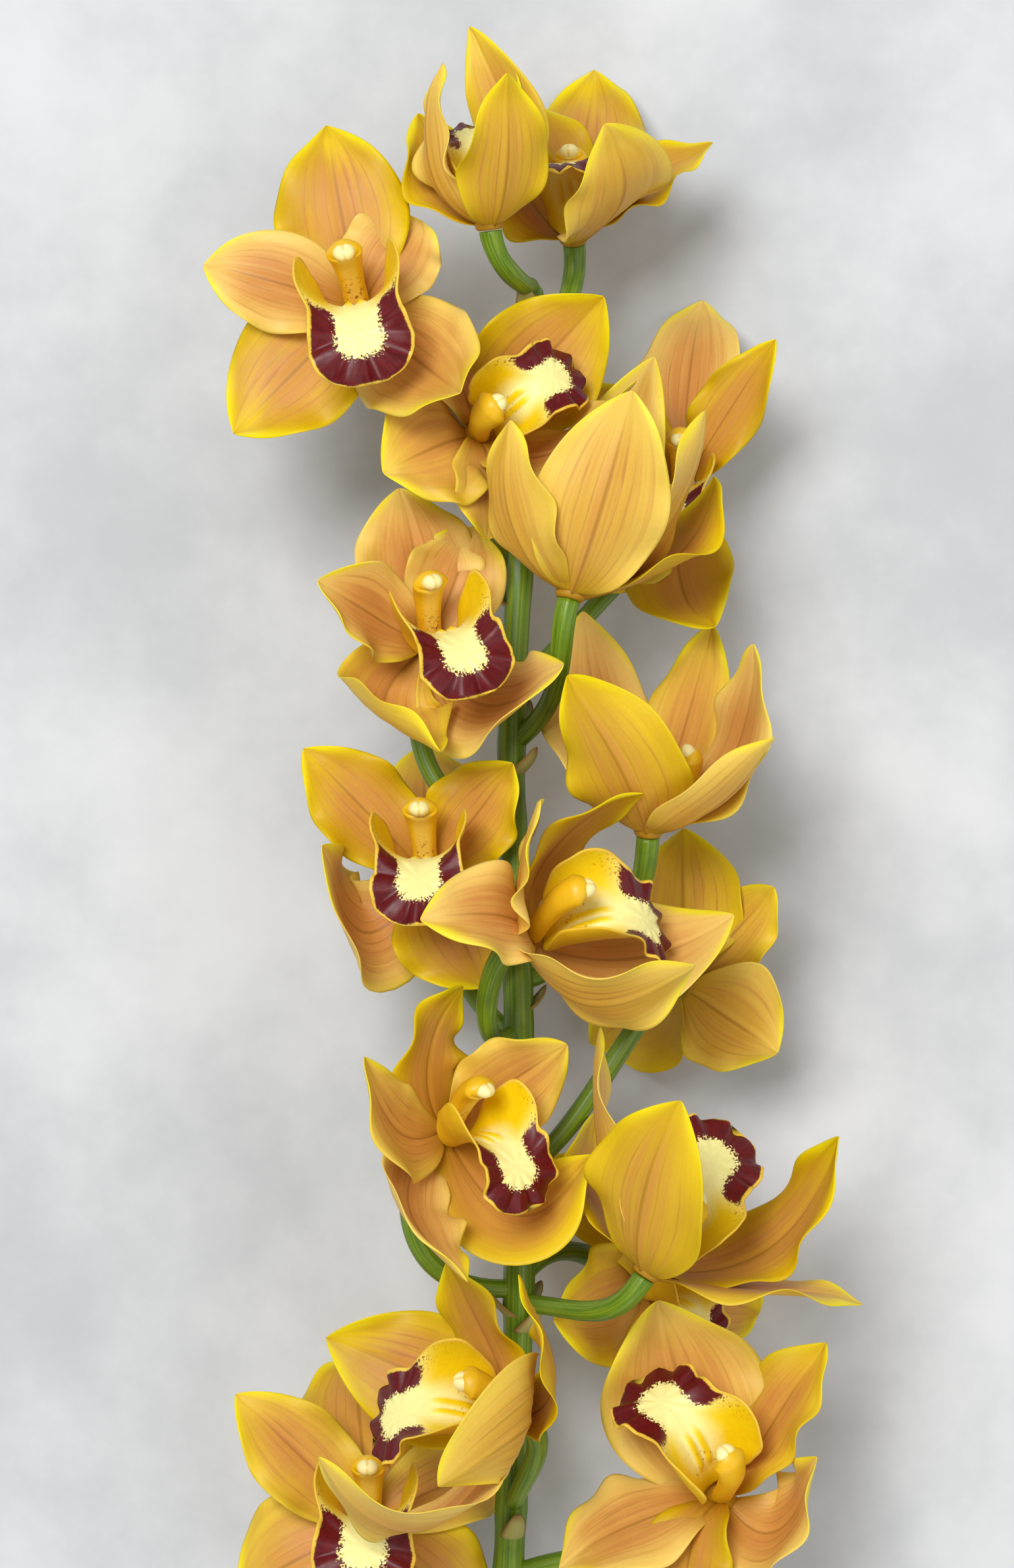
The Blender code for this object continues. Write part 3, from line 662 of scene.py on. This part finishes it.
def tepalPaint():
    # Golden, dusty peach down the middle, a bright yellow margin and tip that is partly their own colour and partly a
    # painted glow of light through the thin edges, painted shade at the base, dark hairline veins
    paint = Paint("tepal_golden", Roughness=0.44, Subsurface_Weight=0.12, Subsurface_Scale=0.003,
                  Subsurface_Radius=(1.0, 0.6, 0.1), Specular_IOR_Level=0.22)
    look = tepalFinish
    along, across, tone, front = (paint.mark(k) for k in ("along", "across", "tone", "front"))
    edge = abs(across)
    place = paint.place()
    cloud = paint.noise(place, 38.0, 3.0)
    fleck = paint.noise(place, 900.0, 2.0)
    streak = paint.noise(paint.point(across * 9.0 + tone * 7.0, along * 1.6, tone * 20.0), 1.0, 4.0)
    wash = paint.noise(paint.point(across * 1.1 + tone * 40.0, along * 2.0, tone * 11.0), 1.0, 2.0)
    colour = paint.blend(paint.step(tone + wash * 0.3, 0.38, 0.86), look["golden"], look["pale"])
    browned = paint.step(wash + (1.0 - tone) * 0.34 + streak * 0.20, 0.66, 0.98)
    colour = paint.blend(browned * 0.7, colour, look["amber"])
    warm = (1.0 - paint.step(edge, 0.20, 0.95)) * (1.0 - paint.step(along, 0.60, 1.0))
    colour = paint.blend(warm * (streak * 0.95 + cloud * 0.45 + tone * 0.25), colour, look["dusk"])
    # painted shade: each tepal darkens to amber toward its base, where the tepals crowd round the hub
    colour = paint.blend(1.0 - paint.step(along + cloud * 0.12, 0.04, 0.34), colour, look["claw"])
    # margins and tip: partly their own brighter yellow, partly a painted glow of light shining through the thin edges
    rim = paint.step(edge * 0.8 + paint.step(along, 0.62, 1.0) * 0.42 + wash * 0.5, 0.92, 1.36)
    colour = paint.blend(rim * 0.7, colour, look["lemonAndGlow"])
    colour = paint.blend((1.0 - front) * 0.4 * (1.0 - rim), colour, look["back"])
    middle = (1.0 - paint.step(edge, 0.45, 1.0)) * (1.0 - paint.step(along, 0.60, 0.98))
    strands = paint.noise(paint.point(across * 15.0 + tone * 5.0, along * 0.8, tone * 31.0), 1.0, 3.0)
    colour = paint.blend(paint.step(strands, 0.46, 0.74) * middle * 0.62, colour, look["dusk"])
    wander = (streak - 0.5) * 0.20
    ridge = paint.maths("COSINE", (across + wander) * (2 * math.pi * 5.5))
    hair = paint.step(ridge, 0.86, 1.0) * middle * paint.step(cloud + strands * 0.8, 0.62, 1.1)
    # the midrib line is partly the dark central vein and partly painted shade in the sunk groove, strongest toward the
    # base
    midrib = (1.0 - paint.step(edge, 0.006, 0.050)) * (1.0 - paint.step(along, 0.55, 1.0))
    lines = paint.maths("MAXIMUM", hair * 0.36, midrib * 0.50)
    colour = paint.blend(lines, colour, look["vein"])
    colour = paint.tint(colour, 0.86 + cloud * 0.18 + fleck * 0.10)
    paint.feed("Base Color", colour)
    paint.feed("Roughness", 0.36 + fleck * 0.20)
    paint.relief(fleck * 0.5 + streak * 0.5, 0.25, 0.0002)
    return paint.material


# The lip: a trough with upright side lobes, then a hanging midlobe with a frilled rim

lip = dict(
    length=0.047, thick=0.0009, thinEdge=0.00045, start=0.0008 + 0.0003, drop=0.0043,
    places=(0.0, 0.16, 0.30, 0.40, 0.47, 0.54, 0.64, 0.76, 0.88, 0.95, 1.0),
    halfWidths=(0.0026, 0.0145, 0.0215, 0.0235, 0.0205, 0.0135, 0.0132, 0.0144, 0.0124, 0.0078, 0.0),
    wraps=(25, 96, 106, 102, 84, 50, 24, 2, -14, -20, -20),
    bends=(-12, -4, 4, 12, 26, 44, 66, 84, 96, 102, 106),
    frill=0.0016, frillWaves=9.0, keel=0.0014, rows=64, columns=57,
)
lipFinish = dict(
    lobe=rgb(242, 206, 6), disc=rgb(253, 243, 160), keel=rgb(252, 220, 20),
    maroon=rgb(122, 10, 20), darkMaroon=rgb(78, 4, 10), rim=rgb(238, 198, 66),
    pepper=rgb(158, 66, 20), outside=rgb(232, 190, 34),
)


def lipShell(bloom, chance):
    # Spine: steps along a bending direction. Across it an arc that stands the side lobes up
    # and lays the midlobe out; ruffles run round the midlobe, two keels run down the disc
    size, droop = bloom["lip"], bloom["droop"]
    fine = np.linspace(0, 1, 241)
    bend = softValues(lip["places"], lip["bends"], fine)
    bend = np.radians(bend * np.where(bend > 0, droop, 1))
    along = np.stack([0 * bend, -np.sin(bend), np.cos(bend)], 1)
    steps = (along[1:] + along[:-1]) / 2 * lip["length"] * size / (len(fine) - 1)
    spine = np.vstack([np.zeros(3), np.cumsum(steps, axis=0)])
    spine += np.array([0, -lip["drop"], lip["start"] + lip["thick"] / 2])
    inner = np.stack([0 * bend, np.cos(bend), np.sin(bend)], 1)
    at = np.linspace(0, 1, lip["rows"])
    centre, up = (np.stack([np.interp(at, fine, line[:, k]) for k in range(3)], 1)[:, None, :]
                  for line in (spine, inner))
    base = np.minimum(at / 0.16, 1)
    half = softValues(lip["places"], lip["halfWidths"], at, 0.018)
    tipRound = np.sqrt(np.clip(1 - ((at - 0.80) / 0.20).clip(0) ** 2, 0, 1))
    half = np.where(at > 0.80, np.interp(0.80, at, half) * tipRound, half) * (1 + (size - 1) * base)
    wrap = np.radians(softValues(lip["places"], lip["wraps"], at))
    v, t, half, wrap = np.linspace(-1, 1, lip["columns"])[None, :], at[:, None], half[:, None], wrap[:, None]
    sideways, lifted = arcSection(v, half, wrap)
    reach = (t - 0.70) * lip["length"] * size
    around = np.arctan2(v * half, reach)
    toTip = (1 - t) * lip["length"] * size
    toSide = (1 - np.abs(v)) * half
    toRim = (np.maximum(toSide, 1e-6) ** -3 + np.maximum(toTip, 1e-6) ** -3) ** (-1 / 3)
    nearRim = np.exp(-toRim / (0.0042 * size)) * smoothStep(t, 0.44, 0.58)
    phase = chance.uniform(0, 2 * np.pi)
    ruffle = np.sin(lip["frillWaves"] * around + phase) + 0.35 * np.sin(17 * around + 2.1 * phase)
    lifted = lifted + lip["frill"] * size * nearRim * ruffle
    lobeEdge = np.abs(v) ** 8 * smoothStep(t, 0.14, 0.26) * (1 - smoothStep(t, 0.40, 0.52))
    lifted = lifted + 0.0007 * lobeEdge * np.sin(26 * t + phase)
    keels = np.exp(-((np.abs(v * half) - 0.0017 * size) / 0.0009) ** 2)
    lifted = lifted + lip["keel"] * size * keels * smoothStep(t, 0.16, 0.26) * (1 - smoothStep(t, 0.40, 0.50))
    seat, right, crown, face = bloomAxes(bloom)
    local = centre + sideways[..., None] * np.array([1.0, 0, 0]) + lifted[..., None] * up
    grid = seat + local @ np.stack([right, crown, face])
    grid[..., 2] = onTable(grid[..., 2], 0.0005)
    thickness = lip["thinEdge"] + (lip["thick"] - lip["thinEdge"]) * (1 - np.exp(-toRim / 0.002))
    marks = dict(along=t + 0 * v, across=v + 0 * t, toRim=toRim * 1000 / size, around=around,
                 tone=0 * t * v + chance.uniform(0, 1), keels=keels + 0 * t)
    return bladeShell(grid, thickness, marks)


def lipPaint():
    # Cream disc, two yellow keels, yellow side lobes peppered with red, a maroon band whose
    # inner border breaks into streaks, and a pale frilled rim
    paint = Paint("lip_maroon", Roughness=0.42, Subsurface_Weight=0.08, Subsurface_Scale=0.002,
                  Subsurface_Radius=(1.0, 0.5, 0.15), Specular_IOR_Level=0.35)
    look = lipFinish
    along, across, toRim, around, tone, keels, front = (
        paint.mark(k) for k in ("along", "across", "toRim", "around", "tone", "keels", "front"))
    place = paint.place()
    fleck = paint.noise(place, 700.0, 2.0)
    speck = paint.noise(place, 1500.0, 1.0)
    teeth = paint.noise(paint.point(around * 22.0, toRim * 0.35, tone * 9.0), 1.0, 5.0, 0.8)
    edge = abs(across)
    side = paint.step(edge, 0.14, 0.46) * (1.0 - paint.step(along, 0.44, 0.60))
    colour = paint.blend(side, look["disc"], look["lobe"])
    colour = paint.blend(1.0 - paint.step(along, 0.06, 0.34), colour, look["lobe"])
    ridge = paint.step(keels, 0.35, 0.80) * paint.step(along, 0.12, 0.24)
    colour = paint.blend(ridge * (1.0 - paint.step(along, 0.42, 0.50)), colour, look["keel"])
    peppered = paint.step(speck, 0.61, 0.66) * paint.step(along, 0.36, 0.50)
    peppered = peppered * (1.0 - paint.step(along, 0.50, 0.60)) * paint.step(edge, 0.45, 0.80)
    colour = paint.blend(peppered * 0.75, colour, look["pepper"])
    dots = paint.step(paint.noise(place, 820.0, 1.0), 0.66, 0.70) * (1.0 - paint.step(edge, 0.20, 0.45))
    dots = dots * paint.step(along, 0.10, 0.20) * (1.0 - paint.step(along, 0.28, 0.42))
    colour = paint.blend(dots * 0.6, colour, look["pepper"])
    band = 1.0 - paint.step(toRim + (teeth - 0.5) * 2.4 + (speck - 0.5) * 4.0, 6.7, 7.5)
    band = band * paint.step(along + (teeth - 0.5) * 0.08 + (speck - 0.5) * 0.05, 0.505, 0.53)
    red = paint.blend(paint.step(teeth, 0.30, 0.80), look["darkMaroon"], look["maroon"])
    colour = paint.blend(band, colour, red)
    margin = 1.0 - paint.step(toRim + (teeth - 0.5) * 1.2, 0.65, 1.15)
    colour = paint.blend(margin, colour, look["rim"])
    colour = paint.blend((1.0 - front) * 0.75, colour, look["outside"])
    colour = paint.tint(colour, 0.90 + fleck * 0.16)
    paint.feed("Base Color", colour)
    paint.feed("Roughness", 0.34 + fleck * 0.18)
    paint.relief(fleck * 0.6 + teeth * 0.4, 0.25, 0.0002)
    return paint.material


# The column: an arched, winged rod with a stigma hollow, and the anther cap on its end

column = dict(
    length=0.025, radius=0.0036, start=0.0008 + 0.0003, rise=0.0006,
    bends=(36, 32, 12, -30), shares=(0.30, 0.36, 0.24, 0.10), girths=(0.95, 0.92, 1.08, 1.12, 0.6),
    rows=44, sides=36, capLength=0.0031, capWidth=0.0030, capHeight=0.0023,
)
columnFinish = dict(yellow=rgb(234, 186, 26), cream=rgb(250, 228, 128), speckle=rgb(138, 52, 24),
                    cap=rgb(253, 240, 170), seam=rgb(226, 190, 84))


def columnLine(bloom):  # centre line of the column, as knots
    seat, right, crown, face = bloomAxes(bloom)
    size = 0.5 + 0.5 * bloom["lip"]
    points = [seat + face * column["start"] + crown * column["rise"]]
    for bend, share in zip(column["bends"], column["shares"]):
        way = crown * math.sin(math.radians(bend)) + face * math.cos(math.radians(bend))
        points.append(points[-1] + way * share * column["length"] * size)
    return points


def columnShell(bloom):
    # Rings along the line: wider across than deep, winged near the end, hollowed underneath
    seat, right, crown, face = bloomAxes(bloom)
    line = smoothLine(columnLine(bloom), column["rows"])
    at = np.linspace(0, 1, column["rows"])[:, None]
    angles = np.linspace(0, 2 * np.pi, column["sides"], endpoint=False)[None, :]
    girth = np.interp(at[:, 0], np.linspace(0, 1, 5), column["girths"])[:, None] * column["radius"]
    girth = girth * np.sqrt(1 - np.clip((at - 0.93) / 0.075, 0, 0.98) ** 2)
    wings = np.abs(np.cos(angles)) ** 6 * 0.22 * smoothStep(at, 0.35, 0.75)
    below = np.clip(-np.sin(angles), 0, 1) ** 2
    hollow = below * (0.22 + 0.34 * np.exp(-((at - 0.82) / 0.08) ** 2))
    radii = girth * (1 + wings - hollow)
    rings = ringsAlong(line, radii, angles, right, 0.90)
    rings[0] -= ((rings[0] - line[0]) @ face)[:, None] * face
    rings[..., 2] = np.maximum(rings[..., 2], 0.0001)
    marks = dict(along=at + 0 * angles, below=below + 0 * at)
    return tubeShell(rings, marks)


def antherShell(bloom):  # a ball flattened on top, with a crease from front to back
    seat, right, crown, face = bloomAxes(bloom)
    points = columnLine(bloom)
    size = 0.5 + 0.5 * bloom["lip"]
    ahead = unit(points[-1] - points[-2])
    over = np.cross(ahead, right)
    over = over if over @ crown > 0 else -over
    middle = points[-1] + over * 0.0006 - ahead * 0.0006
    turn, tilt = np.linspace(0, 2 * np.pi, 28, endpoint=False)[None, :], np.linspace(-1.52, 1.52, 19)[:, None]
    crease = 1 - 0.09 * np.exp(-(np.sin(turn) * np.cos(tilt) / 0.16) ** 2) * (np.cos(turn) > -0.3)
    x, y, z = np.cos(tilt) * np.sin(turn), np.cos(tilt) * np.cos(turn), np.sin(tilt) * crease
    rings = (middle + size * (x[..., None] * column["capWidth"] * right
                              + y[..., None] * column["capLength"] * ahead
                              + z[..., None] * column["capHeight"] * over))
    if np.dot(np.cross(ahead, right), over) < 0:
        rings = rings[:, ::-1]
    rings[..., 2] = np.maximum(rings[..., 2], 0.0001)
    return tubeShell(rings, dict(seam=(1 - crease) * 10))


def columnPaint():
    # Yellow above, cream and freckled red-brown below
    paint = Paint("column_yellow", Roughness=0.4, Subsurface_Weight=0.1, Subsurface_Scale=0.002,
                  Specular_IOR_Level=0.4)
    look = columnFinish
    along, below = paint.mark("along"), paint.mark("below")
    place = paint.place()
    fleck = paint.noise(place, 800.0, 2.0)
    colour = paint.blend(paint.step(below, 0.3, 0.9) * 0.4, look["yellow"], look["cream"])
    dots = paint.step(paint.noise(place, 1100.0, 1.0), 0.58, 0.64) * paint.step(below, 0.1, 0.5)
    dots = dots * (1.0 - paint.step(along, 0.15, 0.5))
    colour = paint.blend(dots * 0.8, colour, look["speckle"])
    dark = paint.maths("MULTIPLY", paint.step(below, 0.5, 0.9), paint.step(along, 0.72, 0.80))
    dark = dark * (1.0 - paint.step(along, 0.86, 0.92))
    colour = paint.blend(dark * 0.5, colour, look["speckle"])
    paint.feed("Base Color", paint.tint(colour, 0.90 + fleck * 0.18))
    paint.relief(fleck, 0.2, 0.0002)
    return paint.material


def antherPaint():
    paint = Paint("anther_cream", Roughness=0.36, Subsurface_Weight=0.15, Subsurface_Scale=0.002,
                  Specular_IOR_Level=0.45)
    fleck = paint.noise(paint.place(), 900.0, 2.0)
    seam = paint.step(paint.mark("seam"), 0.2, 0.9)
    colour = paint.blend(seam * 0.6, columnFinish["cap"], columnFinish["seam"])
    paint.feed("Base Color", paint.tint(colour, 0.92 + fleck * 0.12))
    paint.relief(fleck, 0.15, 0.0001)
    return paint.material


# The scape with its pedicels and bracts

scape = dict(
    radius=0.0046, tipRadius=0.0034, footLength=0.018, rows=300, sides=36,
    pedicelRadius=0.0026, ovaryRadius=0.0032, pedicelRows=52, pedicelSides=24,
    bractLength=0.010, bractWidth=0.0075,
    line=((-0.007, -0.142, 0.00425), (-0.006, -0.112, 0.0085), (-0.005, -0.070, 0.0205),
          (-0.003, -0.010, 0.0350), (0.000, 0.070, 0.0490), (0.000, 0.150, 0.0560),
          (-0.002, 0.220, 0.0585), (0.000, 0.270, 0.0590), (0.003, 0.320, 0.0580),
          (0.003, 0.351, 0.0570)),
)
scapeFinish = dict(green=rgb(82, 120, 14), light=rgb(126, 150, 34), dark=rgb(44, 76, 8),
                   cut=rgb(196, 208, 138), bract=rgb(170, 164, 92), bractEdge=rgb(150, 112, 62))


def scapeLine(count):  # the foot, level on the table, then the rising centre line
    line = smoothLine(scape["line"], count)
    foot = line[0] - np.array([0, 1, 0]) * np.linspace(scape["footLength"], 0.0006, 24)[:, None]
    return np.vstack([foot, line])


def scapeShell():
    # Rings along the centre line, faintly ribbed, swollen where each pedicel springs
    line = scapeLine(scape["rows"])
    step = np.linalg.norm(np.diff(line, axis=0), axis=1)
    at = np.concatenate([[0], np.cumsum(step)])
    at = (at / at[-1])[:, None]
    angles = (np.linspace(0, 2 * np.pi, scape["sides"], endpoint=False))[None, :]
    radii = scape["radius"] + (scape["tipRadius"] - scape["radius"]) * at
    swollen = sum(np.exp(-((line[:, 1] - bloom["springs"] * 0.001) / 0.005) ** 2) for bloom in blooms.values())
    radii = radii * (1 + 0.10 * np.minimum(swollen, 1)[:, None])
    radii = radii * (1 + 0.010 * np.cos(9 * angles + 6 * at) + 0.006 * np.sin(40 * at + 2 * angles))
    radii = radii * np.sqrt(1 - np.clip((at - 0.994) / 0.0065, 0, 0.96) ** 2)
    radii = radii * (1 - 0.12 * np.exp(-at / 0.0010))
    rings = ringsAlong(line, radii, angles, np.array([1.0, 0, 0]))
    rings[..., 2] = np.maximum(rings[..., 2], 0)
    cut = np.exp(-at / 0.0008) + 0 * angles
    return tubeShell(rings, dict(along=at + 0 * angles, turn=angles + 0 * at, cut=cut))


def pedicelShell(bloom, chance):
    # A cubic bow from the scape's axis to just behind a bloom, ribbed where the ovary swells
    line = scapeLine(scape["rows"])
    start = np.array([np.interp(bloom["springs"] * 0.001, line[:, 1], line[:, k]) for k in range(3)])
    seat, right, crown, face = bloomAxes(bloom)
    end = seat - face * (0.0028 + 0.0003)
    reach = np.linalg.norm(end - start) / 3
    stalk = bloom.get("stalk")
    if stalk is None:
        outward = unit((end - start) * (1, 0, 1))
        stalk = start + unit(outward + np.array([0, 0.55, 0])) * reach
    u = np.linspace(0, 1, scape["pedicelRows"])[:, None]
    route = ((1 - u) ** 3 * start + 3 * u * (1 - u) ** 2 * np.asarray(stalk)
             + 3 * u**2 * (1 - u) * (end - face * reach * bloom.get("arrive", 1.0)) + u**3 * end)
    angles = np.linspace(0, 2 * np.pi, scape["pedicelSides"], endpoint=False)[None, :]
    radii = scape["pedicelRadius"] + (scape["ovaryRadius"] - scape["pedicelRadius"]) * u**1.5
    ribs = 0.045 * smoothStep(u, 0.45, 0.75) * np.cos(6 * angles + 1.5 * u + chance.uniform(0, 6))
    radii = radii * (1 + ribs + 0.03 * np.sin(9 * u + chance.uniform(0, 6)))
    rings = ringsAlong(route, radii, angles, np.cross(route[1] - route[0], (0.0, 0.0, 1.0)))
    rings[-1] -= ((rings[-1] - route[-1]) @ face)[:, None] * face
    rings[..., 2] = np.maximum(rings[..., 2], 0)
    marks = dict(along=u + 0 * angles, turn=angles + 0 * u, cut=0 * u * angles)
    return tubeShell(rings, marks), route


def bractShell(start, way, chance):  # a small pointed scale wrapped on the scape
    way = unit(way * (1, 0, 1))
    up = np.array([0.0, 1.0, 0.0])
    lean, side = unit(up * 0.8 + way * 0.6), unit(np.cross(way, up))
    foot = start + way * scape["radius"] * 0.5 - up * 0.0085
    at, v = np.linspace(0, 1, 14)[:, None], np.linspace(-1, 1, 11)[None, :]
    half = scape["bractWidth"] / 2 * (1 - at**2.2) ** 0.8
    sideways, lifted = arcSection(v, half, np.radians(48))
    centre = foot + lean * scape["bractLength"] * at[..., None] + way * 0.0014 * np.sin(np.pi * at)[..., None]
    grid = centre + sideways[..., None] * side - lifted[..., None] * unit(np.cross(side, lean) * np.sign(np.cross(side, lean) @ way))
    thickness = 0.0003 + 0.0004 * (1 - v**2) * (1 - at)
    return bladeShell(grid, thickness, dict(along=at + 0 * v, across=v + 0 * at))


def scapePaint():
    # Fresh green with lengthwise light and dark streaks, a pale fibrous cut end
    paint = Paint("scape_green", Roughness=0.4, Subsurface_Weight=0.05, Subsurface_Scale=0.002,
                  Specular_IOR_Level=0.45)
    look = scapeFinish
    along, turn, cut = paint.mark("along"), paint.mark("turn"), paint.mark("cut")
    place = paint.place()
    cloud = paint.noise(place, 60.0, 3.0)
    fleck = paint.noise(place, 1200.0, 2.0)
    around = paint.point(paint.maths("COSINE", turn) * 6.0, paint.maths("SINE", turn) * 6.0, along * 3.0)
    streak = paint.noise(around, 1.0, 3.0)
    colour = paint.blend(paint.step(streak, 0.35, 0.68), look["green"], look["light"])
    colour = paint.blend(paint.step(cloud, 0.52, 0.75) * 0.5, colour, look["dark"])
    colour = paint.blend(paint.step(cut, 0.4, 0.7), colour, look["cut"])
    paint.feed("Base Color", paint.tint(colour, 0.88 + fleck * 0.22))
    paint.feed("Roughness", 0.32 + cloud * 0.18)
    paint.relief(streak * 0.7 + fleck * 0.3, 0.3, 0.0003)
    return paint.material


def bractPaint():
    paint = Paint("bract_straw", Roughness=0.6, Specular_IOR_Level=0.3)
    along, across = paint.mark("along"), paint.mark("across")
    fibre = paint.noise(paint.point(across * 14.0, along * 1.5), 1.0, 3.0)
    rim = paint.maths("MAXIMUM", paint.step(abs(across), 0.6, 1.0), paint.step(along, 0.6, 1.0))
    colour = paint.blend(rim, scapeFinish["bract"], scapeFinish["bractEdge"])
    paint.feed("Base Color", paint.tint(colour, 0.75 + fibre * 0.4))
    paint.relief(fibre, 0.3, 0.0002)
    return paint.material


# The stem put together

tepalGold, lipMaroon, columnYellow = tepalPaint(), lipPaint(), columnPaint()
antherCream, scapeGreen, bractStraw = antherPaint(), scapePaint(), bractPaint()
print("paints mixed")

makePiece("scape_stem", [scapeShell()], scapeGreen, ["scape"])
for number, (name, bloom) in enumerate(blooms.items()):
    chance = np.random.default_rng(400 + number)
    pedicel, route = pedicelShell(bloom, chance)
    makePiece(name + "_pedicel", [pedicel], scapeGreen, ["scape"])
    bract = bractShell(route[0], route[8] - route[0], chance)
    makePiece(name + "_bract", [bract], bractStraw, ["scape"])
    shells = [tepalShell(bloom, part, chance) for part in tepal["parts"]] + [hubShell(bloom)]
    makePiece(name + "_petals", shells, tepalGold, [name + "_tepals"])
    makePiece(name + "_frilled_lip", [lipShell(bloom, chance)], lipMaroon, [name + "_lip"])
    makePiece(name + "_arch", [columnShell(bloom)], columnYellow, [name + "_column"])
    makePiece(name + "_anther", [antherShell(bloom)], antherCream, [name + "_column"])
print("stem dressed:", len(blooms), "blooms")

# Table, light and camera

studio = dict(table=rgb(188, 191, 194), tableCloud=rgb(214, 216, 218), tableSize=6.0, cameraHeight=1.205, cameraAim=(-0.0032, 0.2143),
              frameHeight=2381 * 0.00018, focusHeight=0.055)


def buildStudio():
    mesh = bpy.data.meshes.new("table")
    half = studio["tableSize"] / 2
    mesh.from_pydata([(-half, -half, 0), (half, -half, 0), (half, half, 0), (-half, half, 0)], [], [(0, 1, 2, 3)])
    table = bpy.data.objects.new("table", mesh)
    bpy.context.scene.collection.objects.link(table)
    paint = Paint("table_pale", Roughness=0.7, Specular_IOR_Level=0.2)
    cloud = paint.noise(paint.place(), 9.0, 6.0, 0.6)
    paint.feed("Base Color", paint.blend(paint.step(cloud, 0.32, 0.68), studio["table"], studio["tableCloud"]))
    mesh.materials.append(paint.material)
    world = bpy.data.worlds.new("studio")
    bpy.context.scene.world = world
    world.use_nodes = True
    sky = world.node_tree.nodes["Background"]
    sky.inputs["Color"].default_value = (1.0, 0.99, 0.97, 1)
    sky.inputs["Strength"].default_value = 0.36
    for name, place, size, power in (
            ("key", (-0.55, 0.8, 2.1), 0.9, 42), ("fill", (1.2, -0.3, 1.6), 1.4, 8), ("rim", (0.2, -1.6, 0.9), 1.0, 5)):
        light = bpy.data.lights.new(name, "AREA")
        light.size, light.energy = size, power
        lamp = bpy.data.objects.new(name, light)
        bpy.context.scene.collection.objects.link(lamp)
        lamp.location = place
        away = np.array(place) - np.array([0, 0.03, 0.05])
        lamp.rotation_euler = (math.acos(away[2] / np.linalg.norm(away)), 0, math.atan2(away[0], -away[1]))
    camera = bpy.data.objects.new("camera", bpy.data.cameras.new("camera"))
    bpy.context.scene.collection.objects.link(camera)
    aim = np.array([*studio["cameraAim"], studio["cameraHeight"]]) + drawingOrigin
    camera.location = tuple(aim)
    camera.data.lens = 36 * (studio["cameraHeight"] - studio["focusHeight"]) / studio["frameHeight"]
    camera.data.clip_end = 20
    bpy.context.scene.camera = camera


buildStudio()
bpy.context.scene.view_settings.view_transform = "Standard"
print("studio lit")
